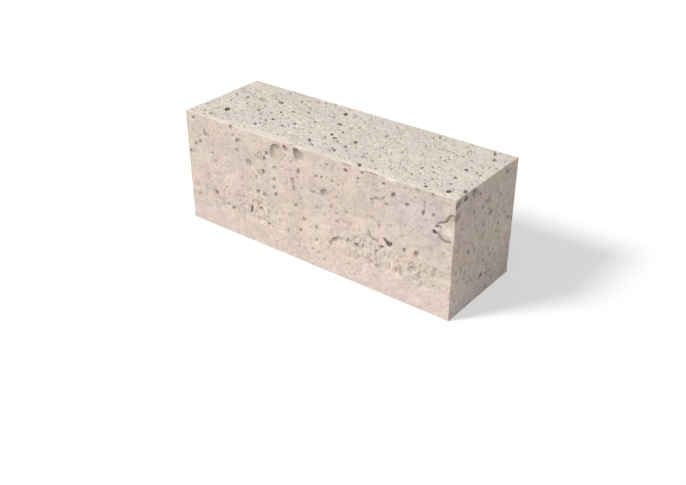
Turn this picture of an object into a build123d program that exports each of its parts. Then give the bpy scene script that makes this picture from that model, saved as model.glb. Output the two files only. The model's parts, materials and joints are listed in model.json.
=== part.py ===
from build123d import *
import os
from math import atan2, cos, degrees, pi, sin
from typing import NamedTuple

# A solid concrete paver, cast in one piece. Its casting left air holes open in every face, and a
# flake has broken off one upright arris. The origin is the middle of the bed face, X runs along
# the length, Y from the front to the back, and Z up. All sizes are in millimetres.

# The block
length = 210.0
depth = 70.0
height = 80.0
arris_radius = 0.8  # how round the cast edges are

# The flake missing from the front face at its right arris
flake_down = 19.0  # middle of the flake, below the top face
flake_lobe_width = 10.0
flake_lobe_pitch = 4.6  # from one lobe to the next, down the arris
flake_deep = 1.3
flake_inset = 3.6  # from the arris to the middle of its end lobes
flake_reach = 1.6  # how much further in its middle lobe lies
flake_tail_long = 7.5  # the sliver that carries on round the arris
flake_tail_wide = 3.4
flake_tail_turn = 42.0  # degrees up from level

# Air holes on the faces that are alike, spread by steps that never line up
scatter_long = (3.2, 2.4, 4.6, 2.8, 3.6, 2.6, 5.4)
scatter_round = 0.8  # mouth width over its length
scatter_deep = 0.36  # depth over mouth width
back_holes = 30
side_holes = 11
bed_holes = 24
bed_hole_size = 0.8  # holes in the bed face are smaller, under the tamped concrete


# Holes are flat-sided bowls: each ring is a share of the mouth's width at a height that is a
# share of the depth, from just above the face down to the floor
bowl_sides = 8
bowl_rings = ((1.08, 0.25), (0.8, -0.6), (0.4, -1.0))
small_below = 2.35  # narrower ones have fewer sides and rings
small_sides = 6
small_rings = ((1.08, 0.25), (0.6, -1.0))
scar_left = 0.1  # what is left of a scar's depth where its floor runs out


class AirHole(NamedTuple):
    along: float  # place of its middle, as a share of the face from its left arris
    up: float  # the same, from the lower edge of the face
    long: float  # its mouth along the long axis
    wide: float  # its mouth across that
    deep: float
    turn: float = 0  # the long axis, in degrees anticlockwise from level


class SkinScar(NamedTuple):
    along: float
    up: float
    wide: float  # across its mouth
    deep: float  # at its deep side
    turn: float  # the way to its deep side, in degrees anticlockwise from level


front_holes = [
    SkinScar(0.378, 0.898, 11.4, 1.6, 139),  # the widest one, just under the top arris
    SkinScar(0.462, 0.936, 7.8, 1.7, 134),
    AirHole(0.010, 0.635, 2.4, 2.4, 1.0),
    AirHole(0.033, 0.956, 3.0, 1.8, 0.8, 20),
    AirHole(0.036, 0.721, 2.6, 2.0, 0.8, 10),
    AirHole(0.055, 0.758, 2.8, 1.8, 0.8, 30),
    AirHole(0.078, 0.860, 3.2, 1.5, 0.8, 90),
    AirHole(0.084, 0.835, 3.6, 1.7, 0.9),
    AirHole(0.114, 0.321, 3.0, 2.8, 1.2, 30),
    AirHole(0.118, 0.625, 2.4, 1.3, 0.6, 20),
    AirHole(0.166, 0.259, 3.0, 1.4, 0.6, 14),
    AirHole(0.186, 0.238, 3.1, 2.0, 0.9, 70),
    AirHole(0.195, 0.985, 3.0, 2.4, 1.0, 70),
    AirHole(0.203, 0.915, 2.0, 1.7, 0.8),
    AirHole(0.217, 0.796, 3.2, 2.4, 0.8, -10),
    AirHole(0.221, 0.880, 4.5, 1.9, 1.0, 22),
    AirHole(0.262, 0.721, 5.2, 3.8, 1.0, -28),
    AirHole(0.264, 0.294, 5.2, 2.2, 1.2, 80),
    AirHole(0.290, 0.613, 2.6, 1.4, 0.7, 84),
    AirHole(0.292, 0.484, 2.6, 1.7, 0.9, 10),
    AirHole(0.302, 0.375, 4.4, 1.6, 0.6, 8),
    AirHole(0.302, 0.665, 2.4, 2.2, 0.8, 40),
    AirHole(0.303, 0.336, 3.2, 1.8, 1.2, 14),
    AirHole(0.321, 0.682, 3.2, 2.8, 1.4, 50),
    AirHole(0.322, 0.479, 2.4, 2.0, 0.8, 80),
    AirHole(0.329, 0.807, 2.4, 2.2, 1.1),
    AirHole(0.329, 0.280, 2.0, 1.5, 0.7),
    AirHole(0.335, 0.219, 2.8, 1.5, 0.8, 20),
    AirHole(0.336, 0.335, 3.6, 2.2, 0.7, 85),
    AirHole(0.338, 0.860, 2.6, 2.2, 1.1, 70),
    AirHole(0.364, 0.574, 2.4, 2.2, 0.8, 60),
    AirHole(0.366, 0.650, 2.8, 2.5, 1.0, 20),
    AirHole(0.368, 0.759, 4.0, 1.9, 0.9, 14),
    AirHole(0.371, 0.521, 2.9, 2.0, 0.9, 68),
    AirHole(0.413, 0.956, 4.4, 2.6, 1.5, -42),
    AirHole(0.413, 0.769, 2.0, 1.3, 0.6, 40),
    AirHole(0.438, 0.700, 4.0, 3.4, 1.0, 30),
    AirHole(0.443, 0.637, 3.6, 2.8, 0.8, 80),
    AirHole(0.449, 0.488, 2.7, 2.1, 0.9, 30),
    AirHole(0.460, 0.742, 2.0, 1.5, 0.7),
    AirHole(0.462, 0.796, 3.6, 2.0, 1.0, 86),
    AirHole(0.465, 0.281, 2.4, 1.4, 1.0, 75),
    AirHole(0.474, 0.657, 2.2, 1.7, 0.7),
    AirHole(0.482, 0.394, 2.7, 2.3, 1.0),
    AirHole(0.528, 0.356, 2.6, 1.4, 0.6, 84),
    AirHole(0.528, 0.247, 2.0, 1.4, 0.6, 30),
    AirHole(0.530, 0.542, 2.6, 1.6, 0.7, 30),
    AirHole(0.530, 0.807, 2.3, 1.5, 0.8, 30),
    AirHole(0.550, 0.815, 2.3, 1.5, 0.8, 30),
    AirHole(0.557, 0.694, 4.6, 4.0, 1.6, 15),
    AirHole(0.558, 0.103, 2.2, 1.5, 0.6, 80),
    AirHole(0.569, 0.936, 2.2, 1.5, 0.8),
    AirHole(0.582, 0.271, 3.4, 1.9, 0.8, 100),
    AirHole(0.585, 0.600, 4.5, 2.3, 0.9, 80),
    AirHole(0.590, 0.815, 2.1, 1.7, 0.8, 20),
    AirHole(0.595, 0.310, 3.6, 2.4, 1.1, 30),
    AirHole(0.604, 0.556, 2.2, 1.7, 0.7, 10),
    AirHole(0.608, 0.330, 4.6, 1.6, 0.7, 22),
    AirHole(0.610, 0.481, 2.5, 2.1, 0.8),
    AirHole(0.611, 0.801, 1.7, 1.5, 0.6),
    AirHole(0.637, 0.943, 2.9, 1.9, 1.1, -10),
    AirHole(0.642, 0.594, 2.6, 2.2, 0.8),
    AirHole(0.645, 0.358, 3.0, 1.6, 0.8, 75),
    AirHole(0.678, 0.345, 3.6, 2.1, 1.3, -14),
    AirHole(0.688, 0.483, 1.9, 1.5, 0.6, 20),
    AirHole(0.695, 0.969, 2.3, 1.8, 0.9),
    AirHole(0.700, 0.355, 2.2, 1.5, 0.7, 80),
    AirHole(0.730, 0.247, 2.2, 1.6, 0.9, 10),
    AirHole(0.736, 0.460, 5.0, 1.6, 0.8, -25),
    AirHole(0.749, 0.358, 2.1, 1.8, 0.8, 10),
    AirHole(0.750, 0.228, 3.0, 1.8, 0.8, 50),
    AirHole(0.757, 0.579, 2.6, 2.1, 0.9, 60),
    AirHole(0.767, 0.411, 3.1, 1.9, 1.1, 16),
    AirHole(0.768, 0.938, 2.4, 1.5, 1.0, -10),
    AirHole(0.779, 0.480, 3.4, 1.8, 1.2, -35),
    AirHole(0.781, 0.781, 2.3, 2.0, 0.9, 30),
    AirHole(0.789, 0.458, 3.2, 2.6, 1.9, -20),
    AirHole(0.798, 0.470, 2.8, 1.9, 1.3, 50),
    AirHole(0.800, 0.875, 2.7, 2.2, 1.2, 60),
    AirHole(0.830, 0.285, 3.6, 1.6, 0.9, 80),
    AirHole(0.844, 0.459, 2.8, 2.2, 1.1, 80),
    AirHole(0.848, 0.835, 3.2, 2.1, 1.0, 18),
    AirHole(0.869, 0.328, 2.6, 1.7, 1.3, 20),
    AirHole(0.871, 0.367, 3.6, 1.6, 0.6, 10),
    AirHole(0.879, 0.975, 3.0, 2.1, 0.8, -20),
    AirHole(0.883, 0.464, 4.4, 2.9, 1.2, 72),
    AirHole(0.892, 0.269, 2.8, 1.6, 0.7, 80),
    AirHole(0.900, 0.815, 3.4, 1.7, 1.0, 80),
    AirHole(0.900, 0.210, 2.2, 1.7, 0.8, 80),
    AirHole(0.929, 0.984, 2.3, 1.7, 0.8),
    AirHole(0.933, 0.825, 2.2, 1.7, 0.8, 70),
    AirHole(0.938, 0.699, 2.4, 2.4, 1.5, 60),
    AirHole(0.940, 0.330, 2.8, 1.3, 0.7, 85),
    AirHole(0.950, 0.397, 2.6, 1.4, 0.6, 10),
]
top_holes = [
    AirHole(0.033, 0.614, 2.5, 2.1, 0.7),
    AirHole(0.056, 0.457, 4.0, 1.8, 0.7, -55),
    AirHole(0.080, 0.609, 3.2, 2.5, 1.2, 84),
    AirHole(0.082, 0.100, 2.8, 2.2, 0.7),
    AirHole(0.098, 0.269, 5.2, 3.7, 2.4, 65),
    AirHole(0.112, 0.500, 4.6, 1.8, 0.7, -55),
    AirHole(0.133, 0.657, 6.0, 4.4, 0.9, 5),
    AirHole(0.148, 0.877, 2.8, 1.7, 0.6, -55),
    AirHole(0.163, 0.754, 2.8, 2.0, 0.7, -60),
    AirHole(0.176, 0.549, 2.8, 1.6, 0.7, -55),
    AirHole(0.181, 0.436, 4.2, 2.8, 0.8, 60),
    AirHole(0.198, 0.706, 4.6, 2.5, 1.4, -20),
    AirHole(0.210, 0.371, 2.5, 2.0, 0.7, -50),
    AirHole(0.217, 0.047, 1.8, 1.5, 0.6),
    AirHole(0.221, 0.154, 2.0, 1.6, 0.6),
    AirHole(0.230, 0.454, 4.0, 2.6, 0.7, -50),
    AirHole(0.234, 0.289, 2.4, 1.6, 0.7, -50),
    AirHole(0.246, 0.831, 3.0, 1.8, 0.7, -55),
    AirHole(0.247, 0.171, 3.4, 2.4, 1.0, 60),
    AirHole(0.250, 0.523, 3.6, 2.0, 1.0, -50),
    AirHole(0.258, 0.283, 2.4, 1.7, 0.7, -50),
    AirHole(0.266, 0.351, 3.1, 2.2, 1.0, -60),
    AirHole(0.278, 0.603, 2.9, 2.3, 1.0, -60),
    AirHole(0.291, 0.937, 3.2, 1.8, 0.8, -60),
    AirHole(0.316, 0.953, 2.8, 1.9, 0.8, -60),
    AirHole(0.321, 0.287, 2.9, 2.3, 1.1, -50),
    AirHole(0.321, 0.671, 3.4, 1.6, 0.9, -55),
    AirHole(0.343, 0.393, 3.2, 2.3, 1.1, -60),
    AirHole(0.348, 0.977, 2.8, 1.8, 0.8, -60),
    AirHole(0.383, 0.543, 3.0, 2.4, 0.7, 60),
    AirHole(0.400, 0.414, 2.0, 1.6, 0.6),
    AirHole(0.418, 0.856, 3.9, 3.1, 1.8, 60),
    AirHole(0.424, 0.323, 2.4, 1.6, 0.6, -50),
    AirHole(0.435, 0.020, 2.0, 1.6, 0.7),
    AirHole(0.455, 0.637, 3.5, 2.9, 1.6, 30),
    AirHole(0.455, 0.196, 4.8, 1.8, 1.1, -50),
    AirHole(0.457, 0.871, 2.6, 2.0, 0.7, -50),
    AirHole(0.481, 0.137, 4.0, 1.6, 0.9, -40),
    AirHole(0.482, 0.411, 3.3, 2.4, 1.4, 60),
    AirHole(0.499, 0.507, 3.6, 1.6, 0.9, -50),
    AirHole(0.500, 0.629, 2.9, 2.0, 0.8, 80),
    AirHole(0.506, 0.367, 3.5, 2.7, 1.4, -10),
    AirHole(0.514, 0.217, 2.0, 1.7, 0.8),
    AirHole(0.519, 0.686, 4.2, 1.9, 0.7, -60),
    AirHole(0.525, 0.326, 2.2, 1.7, 0.7, -50),
    AirHole(0.554, 0.160, 2.8, 1.7, 1.0, -40),
    AirHole(0.568, 0.277, 3.1, 2.3, 1.1, 70),
    AirHole(0.572, 0.406, 3.6, 2.8, 1.5, 75),
    AirHole(0.587, 0.220, 2.2, 1.6, 0.7, 60),
    AirHole(0.588, 0.111, 2.0, 1.5, 0.7),
    AirHole(0.608, 0.897, 3.2, 1.5, 0.7, -60),
    AirHole(0.619, 0.686, 3.4, 2.1, 0.8, 80),
    AirHole(0.650, 0.209, 3.0, 2.2, 0.8),
    AirHole(0.673, 0.060, 3.7, 2.3, 1.4, -60),
    AirHole(0.685, 0.190, 2.2, 1.6, 0.7, 60),
    AirHole(0.720, 0.489, 2.4, 1.8, 0.7, 60),
    AirHole(0.722, 0.089, 2.2, 1.8, 0.8, 40),
    AirHole(0.730, 0.269, 2.2, 1.7, 0.7, 60),
    AirHole(0.749, 0.950, 3.6, 2.1, 1.1, -65),
    AirHole(0.750, 0.719, 3.4, 1.5, 0.7, -60),
    AirHole(0.759, 0.160, 2.2, 1.6, 0.7, 40),
    AirHole(0.772, 0.554, 2.6, 1.7, 0.7, 60),
    AirHole(0.781, 0.241, 2.8, 2.0, 0.7),
    AirHole(0.820, 0.186, 3.8, 1.8, 0.8, -35),
    AirHole(0.822, 0.331, 3.1, 1.9, 0.8, 80),
    AirHole(0.825, 0.600, 4.4, 1.6, 0.6, -65),
    AirHole(0.838, 0.743, 2.2, 1.9, 0.7),
    AirHole(0.863, 0.323, 2.7, 2.2, 0.8, -50),
    AirHole(0.891, 0.069, 2.9, 1.9, 1.2, -60),
    AirHole(0.925, 0.526, 3.3, 2.4, 1.3, -60),
    AirHole(0.926, 0.347, 3.2, 2.1, 1.0, -60),
    AirHole(0.931, 0.954, 5.5, 1.9, 0.9, -62),
    AirHole(0.954, 0.830, 3.5, 2.3, 1.2, -70),
    AirHole(0.957, 0.107, 3.3, 2.9, 1.9, 30),
    AirHole(0.960, 0.531, 2.5, 2.0, 0.8, 60),
    AirHole(0.987, 0.260, 2.2, 1.8, 0.7, -50),
    AirHole(0.992, 0.186, 3.8, 3.0, 1.6, 70),
]
right_end_holes = [
    SkinScar(0.304, 0.949, 6.2, 1.6, 138),
    AirHole(0.043, 0.953, 6.0, 2.6, 1.4, 48),
    AirHole(0.071, 0.378, 2.6, 1.8, 0.7),
    AirHole(0.126, 0.735, 2.6, 2.2, 0.7, 60),
    AirHole(0.161, 0.956, 4.2, 2.8, 1.5, 60),
    AirHole(0.164, 0.387, 2.2, 1.8, 0.6),
    AirHole(0.261, 0.490, 3.0, 2.4, 1.1, 75),
    AirHole(0.267, 0.225, 3.4, 1.7, 0.7, 80),
    AirHole(0.304, 0.800, 3.0, 2.4, 0.9, 70),
    AirHole(0.336, 0.662, 3.0, 2.4, 0.9, 80),
    AirHole(0.350, 0.475, 3.0, 1.9, 0.7, 80),
    AirHole(0.471, 0.662, 5.0, 2.2, 0.6, 20),
    AirHole(0.500, 0.387, 3.6, 2.4, 0.9, 30),
    AirHole(0.507, 0.185, 4.0, 2.2, 1.1, 12),
    AirHole(0.507, 0.812, 4.0, 1.8, 0.6, 80),
    AirHole(0.571, 0.806, 4.6, 1.7, 0.6, 80),
    AirHole(0.586, 0.162, 3.1, 2.0, 0.8, 20),
    AirHole(0.589, 0.694, 4.2, 2.6, 1.2, 52),
    AirHole(0.643, 0.312, 3.1, 2.7, 0.9),
    AirHole(0.736, 0.546, 3.0, 1.9, 0.7, 60),
    AirHole(0.821, 0.946, 3.5, 2.4, 1.1, 30),
    AirHole(0.836, 0.600, 3.0, 2.0, 0.8, 20),
    AirHole(0.971, 0.494, 2.6, 2.0, 0.9, 90),
]


def shell_cutter(wide, deep):
    # A ball that dips below the face.
    ball_radius = ((wide / 2)**2 + deep**2) / (2 * deep)
    return Pos(0, 0, ball_radius - deep) * Rot(0, -90, 0) * Sphere(ball_radius)


def bowl_cutter(hole):
    # A bowl with flat sides, which narrows ring by ring to its floor.
    small = hole.wide < small_below
    sides = small_sides if small else bowl_sides
    rings = []
    for width_share, level in small_rings if small else bowl_rings:
        points = []
        for side in range(sides):
            angle = 2 * pi * side / sides
            points.append((hole.long * cos(angle) / 2, hole.wide * sin(angle) / 2))
        ring = scale(make_face(Polyline(*points, close=True)), width_share)
        rings.append(Pos(0, 0, level * hole.deep) * ring)
    return loft(rings, ruled=True)


def scar_cutter(scar):
    # Thin skin broke off over a wide hole: a leaning punch bites deep on one side of it, and its
    # floor comes up to the other.
    lean = degrees(atan2(scar.deep * (1 - scar_left), scar.wide))
    punch = extrude(Circle(scar.wide / 2), scar.wide)
    return Pos(0, 0, -scar.deep * (1 + scar_left) / 2) * Rot(0, lean, 0) * punch


def hole_cutter(hole):
    return scar_cutter(hole) if isinstance(hole, SkinScar) else bowl_cutter(hole)


def cutters_on(face_plane, face_width, face_height, holes):
    # The plane's origin is the middle of the face's lower edge, and its Z points out of the block.
    cutters = []
    for hole in holes:
        place = Pos((hole.along - 0.5) * face_width, hole.up * face_height) * Rot(0, 0, hole.turn)
        cutters.append(face_plane * place * hole_cutter(hole))
    return cutters


def scattered_holes(count, size=1.0, start=0.5):
    # Steps of two irrational shares fill a face evenly without rows.
    step_along, step_up = 0.7549, 0.5698
    holes = []
    for number in range(1, count + 1):
        long = size * scatter_long[number % len(scatter_long)]
        wide = long * scatter_round
        along = (start + number * step_along) % 1
        up = (start + number * step_up) % 1
        holes.append(AirHole(along, up, long, wide, wide * scatter_deep, turn=37 * number % 180))
    return holes


def flake_cutters():
    # Three shallow shells that overlap down the arris, and the sliver that turns the corner.
    lobe = shell_cutter(flake_lobe_width, flake_deep)
    tail = AirHole(0, 0, flake_tail_long, flake_tail_wide, flake_deep)
    arris_x, face_y = length / 2, -depth / 2
    cutters = []
    for row in (-1, 0, 1):
        inset = flake_inset + (flake_reach if row == 0 else 0)
        middle = (arris_x - inset, face_y, height - flake_down + row * flake_lobe_pitch)
        cutters.append(Plane(middle, x_dir=(1, 0, 0), z_dir=(0, -1, 0)) * lobe)
    tail_up = height - flake_down + flake_lobe_pitch + flake_lobe_width / 4
    tail_middle = (arris_x, face_y + flake_tail_wide / 2, tail_up)
    tail_plane = Plane(tail_middle, x_dir=(0, 1, 0), z_dir=(1, 0, 0))
    cutters.append(tail_plane * Rot(0, 0, flake_tail_turn) * hole_cutter(tail))
    return cutters


def make_paver():
    block = Pos(0, 0, height / 2) * Box(length, depth, height)
    block = fillet(block.edges(), arris_radius)
    front = Plane((0, -depth / 2, 0), x_dir=(1, 0, 0), z_dir=(0, -1, 0))
    back = Plane((0, depth / 2, 0), x_dir=(-1, 0, 0), z_dir=(0, 1, 0))
    right_end = Plane((length / 2, 0, 0), x_dir=(0, 1, 0), z_dir=(1, 0, 0))
    left_end = Plane((-length / 2, 0, 0), x_dir=(0, -1, 0), z_dir=(-1, 0, 0))
    top = Plane((0, -depth / 2, height), x_dir=(1, 0, 0), z_dir=(0, 0, 1))
    bed = Plane((0, depth / 2, 0), x_dir=(1, 0, 0), z_dir=(0, 0, -1))
    cutters = cutters_on(front, length, height, front_holes)
    cutters += cutters_on(top, length, depth, top_holes)
    cutters += cutters_on(right_end, depth, height, right_end_holes)
    cutters += cutters_on(back, length, height, scattered_holes(back_holes, start=0.31))
    cutters += cutters_on(left_end, depth, height, scattered_holes(side_holes, start=0.62))
    cutters += cutters_on(bed, length, depth, scattered_holes(bed_holes, bed_hole_size, 0.17))
    cutters += flake_cutters()
    return block - cutters


os.makedirs("parts", exist_ok=True)
paver_block = make_paver()
export_step(paver_block, "parts/paver_block.step")
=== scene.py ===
import bpy
import json
import math
import numpy as np
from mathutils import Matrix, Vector

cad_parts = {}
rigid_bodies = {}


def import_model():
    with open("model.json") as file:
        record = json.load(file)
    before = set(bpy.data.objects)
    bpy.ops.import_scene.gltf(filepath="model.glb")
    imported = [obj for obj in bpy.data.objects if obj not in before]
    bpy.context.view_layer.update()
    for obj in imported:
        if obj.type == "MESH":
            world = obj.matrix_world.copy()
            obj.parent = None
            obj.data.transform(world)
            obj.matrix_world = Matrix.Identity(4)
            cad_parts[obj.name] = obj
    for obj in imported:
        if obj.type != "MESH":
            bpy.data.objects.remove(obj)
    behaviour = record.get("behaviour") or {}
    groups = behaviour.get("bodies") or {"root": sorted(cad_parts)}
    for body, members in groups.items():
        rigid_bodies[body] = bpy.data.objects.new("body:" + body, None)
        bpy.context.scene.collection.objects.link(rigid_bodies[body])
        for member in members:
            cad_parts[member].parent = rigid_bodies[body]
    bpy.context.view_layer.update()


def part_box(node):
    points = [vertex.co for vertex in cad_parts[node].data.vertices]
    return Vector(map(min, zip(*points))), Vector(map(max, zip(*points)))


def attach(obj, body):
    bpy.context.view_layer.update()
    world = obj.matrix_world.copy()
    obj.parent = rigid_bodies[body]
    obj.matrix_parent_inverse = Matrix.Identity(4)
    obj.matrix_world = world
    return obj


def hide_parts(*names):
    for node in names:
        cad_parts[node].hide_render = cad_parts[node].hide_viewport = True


# A cast concrete paver: a washed top, formed sides full of open air holes, and a flake missing
# from one upright arris. The mesh is worked out in millimetres, on the box that the frame gives.

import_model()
toMetres = 0.001


# Camera and light

view = {
    "azimuth": 37.811,  # degrees round from the front face
    "elevation": 30.383,
    "place": (0.33020, -0.42577, 0.31573),
    "focalPixels": 929.95,
    "imageWidth": 686,
    "sensorWidth": 36.0,
}

studio = {
    "keyFrom": (-0.46, -0.60, 0.66),  # towards the lamp: upper left, in front
    "keyStrength": 2.72,
    "keyAngle": 14.0,  # degrees across, so that shadows in the holes stay soft
    "keyColour": (1.0, 0.975, 0.94),
    "fillFrom": (0.80, -0.50, 0.30),  # a weak wide lamp for the right end
    "fillStrength": 0.38,
    "fillAngle": 50.0,
    "fillColour": (1.0, 0.98, 0.96),
    "skyStrength": 0.40,
    "skyColour": (0.97, 0.985, 1.0),
    "floorSize": 6.0,
    "floorColour": (0.60, 0.60, 0.60),
    "floorGlow": 0.42,  # what the camera sees on top, so that the floor reads white
}


def addToScene(name, data):
    made = bpy.data.objects.new(name, data)
    bpy.context.scene.collection.objects.link(made)
    return made


def aim(thing, back):
    # Cameras and lamps look away from where they stand.
    thing.rotation_mode = "QUATERNION"
    thing.rotation_quaternion = (-Vector(back)).to_track_quat("-Z", "Y")


def makeCamera():
    azimuth, elevation = math.radians(view["azimuth"]), math.radians(view["elevation"])
    data = bpy.data.cameras.new("productCamera")
    data.sensor_width = view["sensorWidth"]
    data.lens = view["sensorWidth"] * view["focalPixels"] / view["imageWidth"]
    data.clip_start = 0.01
    camera = addToScene("productCamera", data)
    camera.location = view["place"]
    aim(camera, (
        math.sin(azimuth) * math.cos(elevation),
        -math.cos(azimuth) * math.cos(elevation),
        math.sin(elevation),
    ))
    bpy.context.scene.camera = camera


def makeLights():
    for name in ("key", "fill"):
        lamp = bpy.data.lights.new(name + "Lamp", "SUN")
        lamp.energy = studio[name + "Strength"]
        lamp.angle = math.radians(studio[name + "Angle"])
        lamp.color = studio[name + "Colour"]
        aim(addToScene(name + "Lamp", lamp), studio[name + "From"])


# Short ways to place and join shader nodes

def startNodes(owner):
    # An empty node tree, for a material or the sky.
    owner.use_nodes = True
    owner.node_tree.nodes.clear()
    return owner.node_tree


def place(tree, kind, sources=(), **settings):
    # Adds a node and fills its sockets. A source is another node's output, or a plain value.
    made = tree.nodes.new("ShaderNode" + kind)
    for name, value in settings.items():
        setattr(made, name, value)
    for socket, source in dict(sources).items():
        if isinstance(source, bpy.types.NodeSocket):
            tree.links.new(source, made.inputs[socket])
        else:
            made.inputs[socket].default_value = source
    return made


def sums(tree, operation, *sources):
    return place(tree, "Math", enumerate(sources), operation=operation).outputs[0]


def spread(tree, source, low, high, toLow=0.0, toHigh=1.0):
    # A smooth step from low to high, kept between the two results.
    values = enumerate((source, low, high, toLow, toHigh))
    return place(tree, "MapRange", values, interpolation_type="SMOOTHSTEP").outputs[0]


def blend(tree, share, first, second, how="MIX"):
    # The sockets with these numbers are the ones for colours.
    sources = {"Factor": share, 6: first, 7: second}
    return place(tree, "Mix", sources, data_type="RGBA", blend_type=how).outputs[2]


def startGroup(name, **inputs):
    # An input with a first value is a number, and one with None is a vector.
    group = bpy.data.node_groups.new(name, "ShaderNodeTree")
    for label, value in inputs.items():
        kind = "NodeSocketVector" if value is None else "NodeSocketFloat"
        socket = group.interface.new_socket(label, in_out="INPUT", socket_type=kind)
        if value is not None:
            socket.default_value = value
    return group, group.nodes.new("NodeGroupInput").outputs


def endGroup(group, **results):
    for label in results:
        group.interface.new_socket(label, in_out="OUTPUT", socket_type="NodeSocketFloat")
    ends = group.nodes.new("NodeGroupOutput")
    for label, source in results.items():
        group.links.new(source, ends.inputs[label])
    return group


def useGroup(tree, group, **sources):
    return place(tree, "Group", sources, node_tree=group).outputs


def seenRays(tree):
    # 1 for what the camera sees: directly, in a gloss or through glass.
    rays = place(tree, "LightPath").outputs
    seen = sums(tree, "MAXIMUM", rays["Is Camera Ray"], rays["Is Glossy Ray"])
    return sums(tree, "MAXIMUM", seen, rays["Is Transmission Ray"])


def makeFloor():
    half = studio["floorSize"] / 2
    mesh = bpy.data.meshes.new("studioFloor")
    mesh.from_pydata([(-half, -half, 0), (half, -half, 0), (half, half, 0), (-half, half, 0)], [],
                     [(0, 1, 2, 3)])
    material = bpy.data.materials.new("paleFloor")
    tree = startNodes(material)
    paint = place(tree, "BsdfDiffuse", {"Color": (*studio["floorColour"], 1)})
    strength = sums(tree, "MULTIPLY", seenRays(tree), studio["floorGlow"])
    glow = place(tree, "Emission", {"Strength": strength})
    both = place(tree, "AddShader", {0: paint.outputs[0], 1: glow.outputs[0]})
    place(tree, "OutputMaterial", {"Surface": both.outputs[0]})
    mesh.materials.append(material)
    addToScene("studioFloor", mesh)


def makeSky():
    world = bpy.data.worlds.new("studioSky")
    tree = startNodes(world)
    colour, strength = (*studio["skyColour"], 1), studio["skyStrength"]
    soft = place(tree, "Background", {"Color": colour, "Strength": strength})
    white = place(tree, "Background", {"Color": (1, 1, 1, 1)})
    mixed = place(tree, "MixShader", {0: seenRays(tree), 1: soft.outputs[0], 2: white.outputs[0]})
    place(tree, "OutputWorld", {"Surface": mixed.outputs[0]})
    bpy.context.scene.world = world


bpy.context.scene.view_settings.view_transform = "Standard"
makeCamera()
makeLights()
makeFloor()
makeSky()
print("stage: camera, lamp, floor and sky are in place")


# The block's mesh

paver = {
    "cell": 0.4,  # mm between the points that the surface is carved with
    "quickCells": 1.6,
    "triangles": 190000,  # what is left of them after thinning
    "arrisRadius": 0.35,
    "arrisUneven": 0.85,
    "arrisUnevenSize": 4.5,
    "unevenDeep": 0.14,  # slow waves over every face
    "unevenSize": 17.0,
    "roughDeep": 0.05,  # the skin between the holes
    "roughSize": 2.6,
    "sharpAngle": 60.0,
}


class Face:
    # One face as seen from outside: its top left corner, the way across and the way down.
    def __init__(self, corner, across, down, size):
        self.corner = np.array(corner, float)
        self.across = np.array(across, float)
        self.down = np.array(down, float)
        self.out = np.cross(self.down, self.across)
        self.width = float(abs(self.across) @ size)
        self.height = float(abs(self.down) @ size)

    def flat(self, points):
        # Each point's place across, down and below the face.
        away = points - self.corner
        return away @ self.across, away @ self.down, -(away @ self.out)


def facesOf(low, high):
    size = high - low
    left, front, bed = low
    right, back, top = high
    return {
        "front": Face((left, front, top), (1, 0, 0), (0, 0, -1), size),
        "back": Face((right, back, top), (-1, 0, 0), (0, 0, -1), size),
        "rightEnd": Face((right, front, top), (0, 1, 0), (0, 0, -1), size),
        "leftEnd": Face((left, back, top), (0, -1, 0), (0, 0, -1), size),
        "top": Face((left, back, top), (1, 0, 0), (0, -1, 0), size),
        "bed": Face((left, front, bed), (1, 0, 0), (0, 1, 0), size),
    }


def latticeOn(faces, low, high, cell):
    # Points at every cell corner of all six faces, shared along the arrises, and the squares
    # between them.
    counts = np.maximum(2, np.rint((high - low) / cell)).astype(int)
    step = (high - low) / counts
    alongY, alongZ = counts[1] + 1, counts[2] + 1
    keys = {}
    for name, face in faces.items():
        start = np.rint((face.corner - low) / step).astype(int)
        across, down = face.across.astype(int), face.down.astype(int)
        columns = np.arange(abs(across) @ counts + 1)[:, None, None]
        rows = np.arange(abs(down) @ counts + 1)[None, :, None]
        spots = start + columns * across + rows * down
        keys[name] = (spots[..., 0] * alongY + spots[..., 1]) * alongZ + spots[..., 2]
    known = np.unique(np.concatenate([grid.ravel() for grid in keys.values()]))
    squares = []
    for name, face in faces.items():
        face.ids = ids = np.searchsorted(known, keys[name])
        corners = (ids[:-1, :-1], ids[:-1, 1:], ids[1:, 1:], ids[1:, :-1])
        squares.append(np.stack([corner.ravel() for corner in corners], axis=1))
    spots = np.stack([known // (alongY * alongZ), known // alongZ % alongY, known % alongZ], axis=1)
    return low + spots * step, np.concatenate(squares)


def softNoise(points, size, seed):
    # A random value from -1 to 1 for each point, that changes slowly over about that size. The
    # size may be a different one for each axis.
    random = np.random.default_rng(seed)
    side = 64
    values = random.uniform(-1, 1, (side, side, side)).astype(np.float32)
    spots = points / np.asarray(size) + random.uniform(0, side, 3)
    base = np.floor(spots).astype(int)
    part = (spots - base).astype(np.float32)
    part = part * part * (3 - 2 * part)
    total = np.zeros(len(points), np.float32)
    for corner in np.ndindex(2, 2, 2):
        weight = np.ones(len(points), np.float32)
        for axis, far in enumerate(corner):
            weight *= part[:, axis] if far else 1 - part[:, axis]
        x, y, z = ((base + corner) % side).T
        total += weight * values[x, y, z]
    return total


def smooth(share):
    share = np.clip(share, 0, 1)
    return share * share * (3 - 2 * share)


def window(values, start, end, soft):
    # 1 between start and end, fading to 0 over the soft width outside them.
    return smooth(np.minimum(values - start, end - values) / soft + 1)


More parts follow.
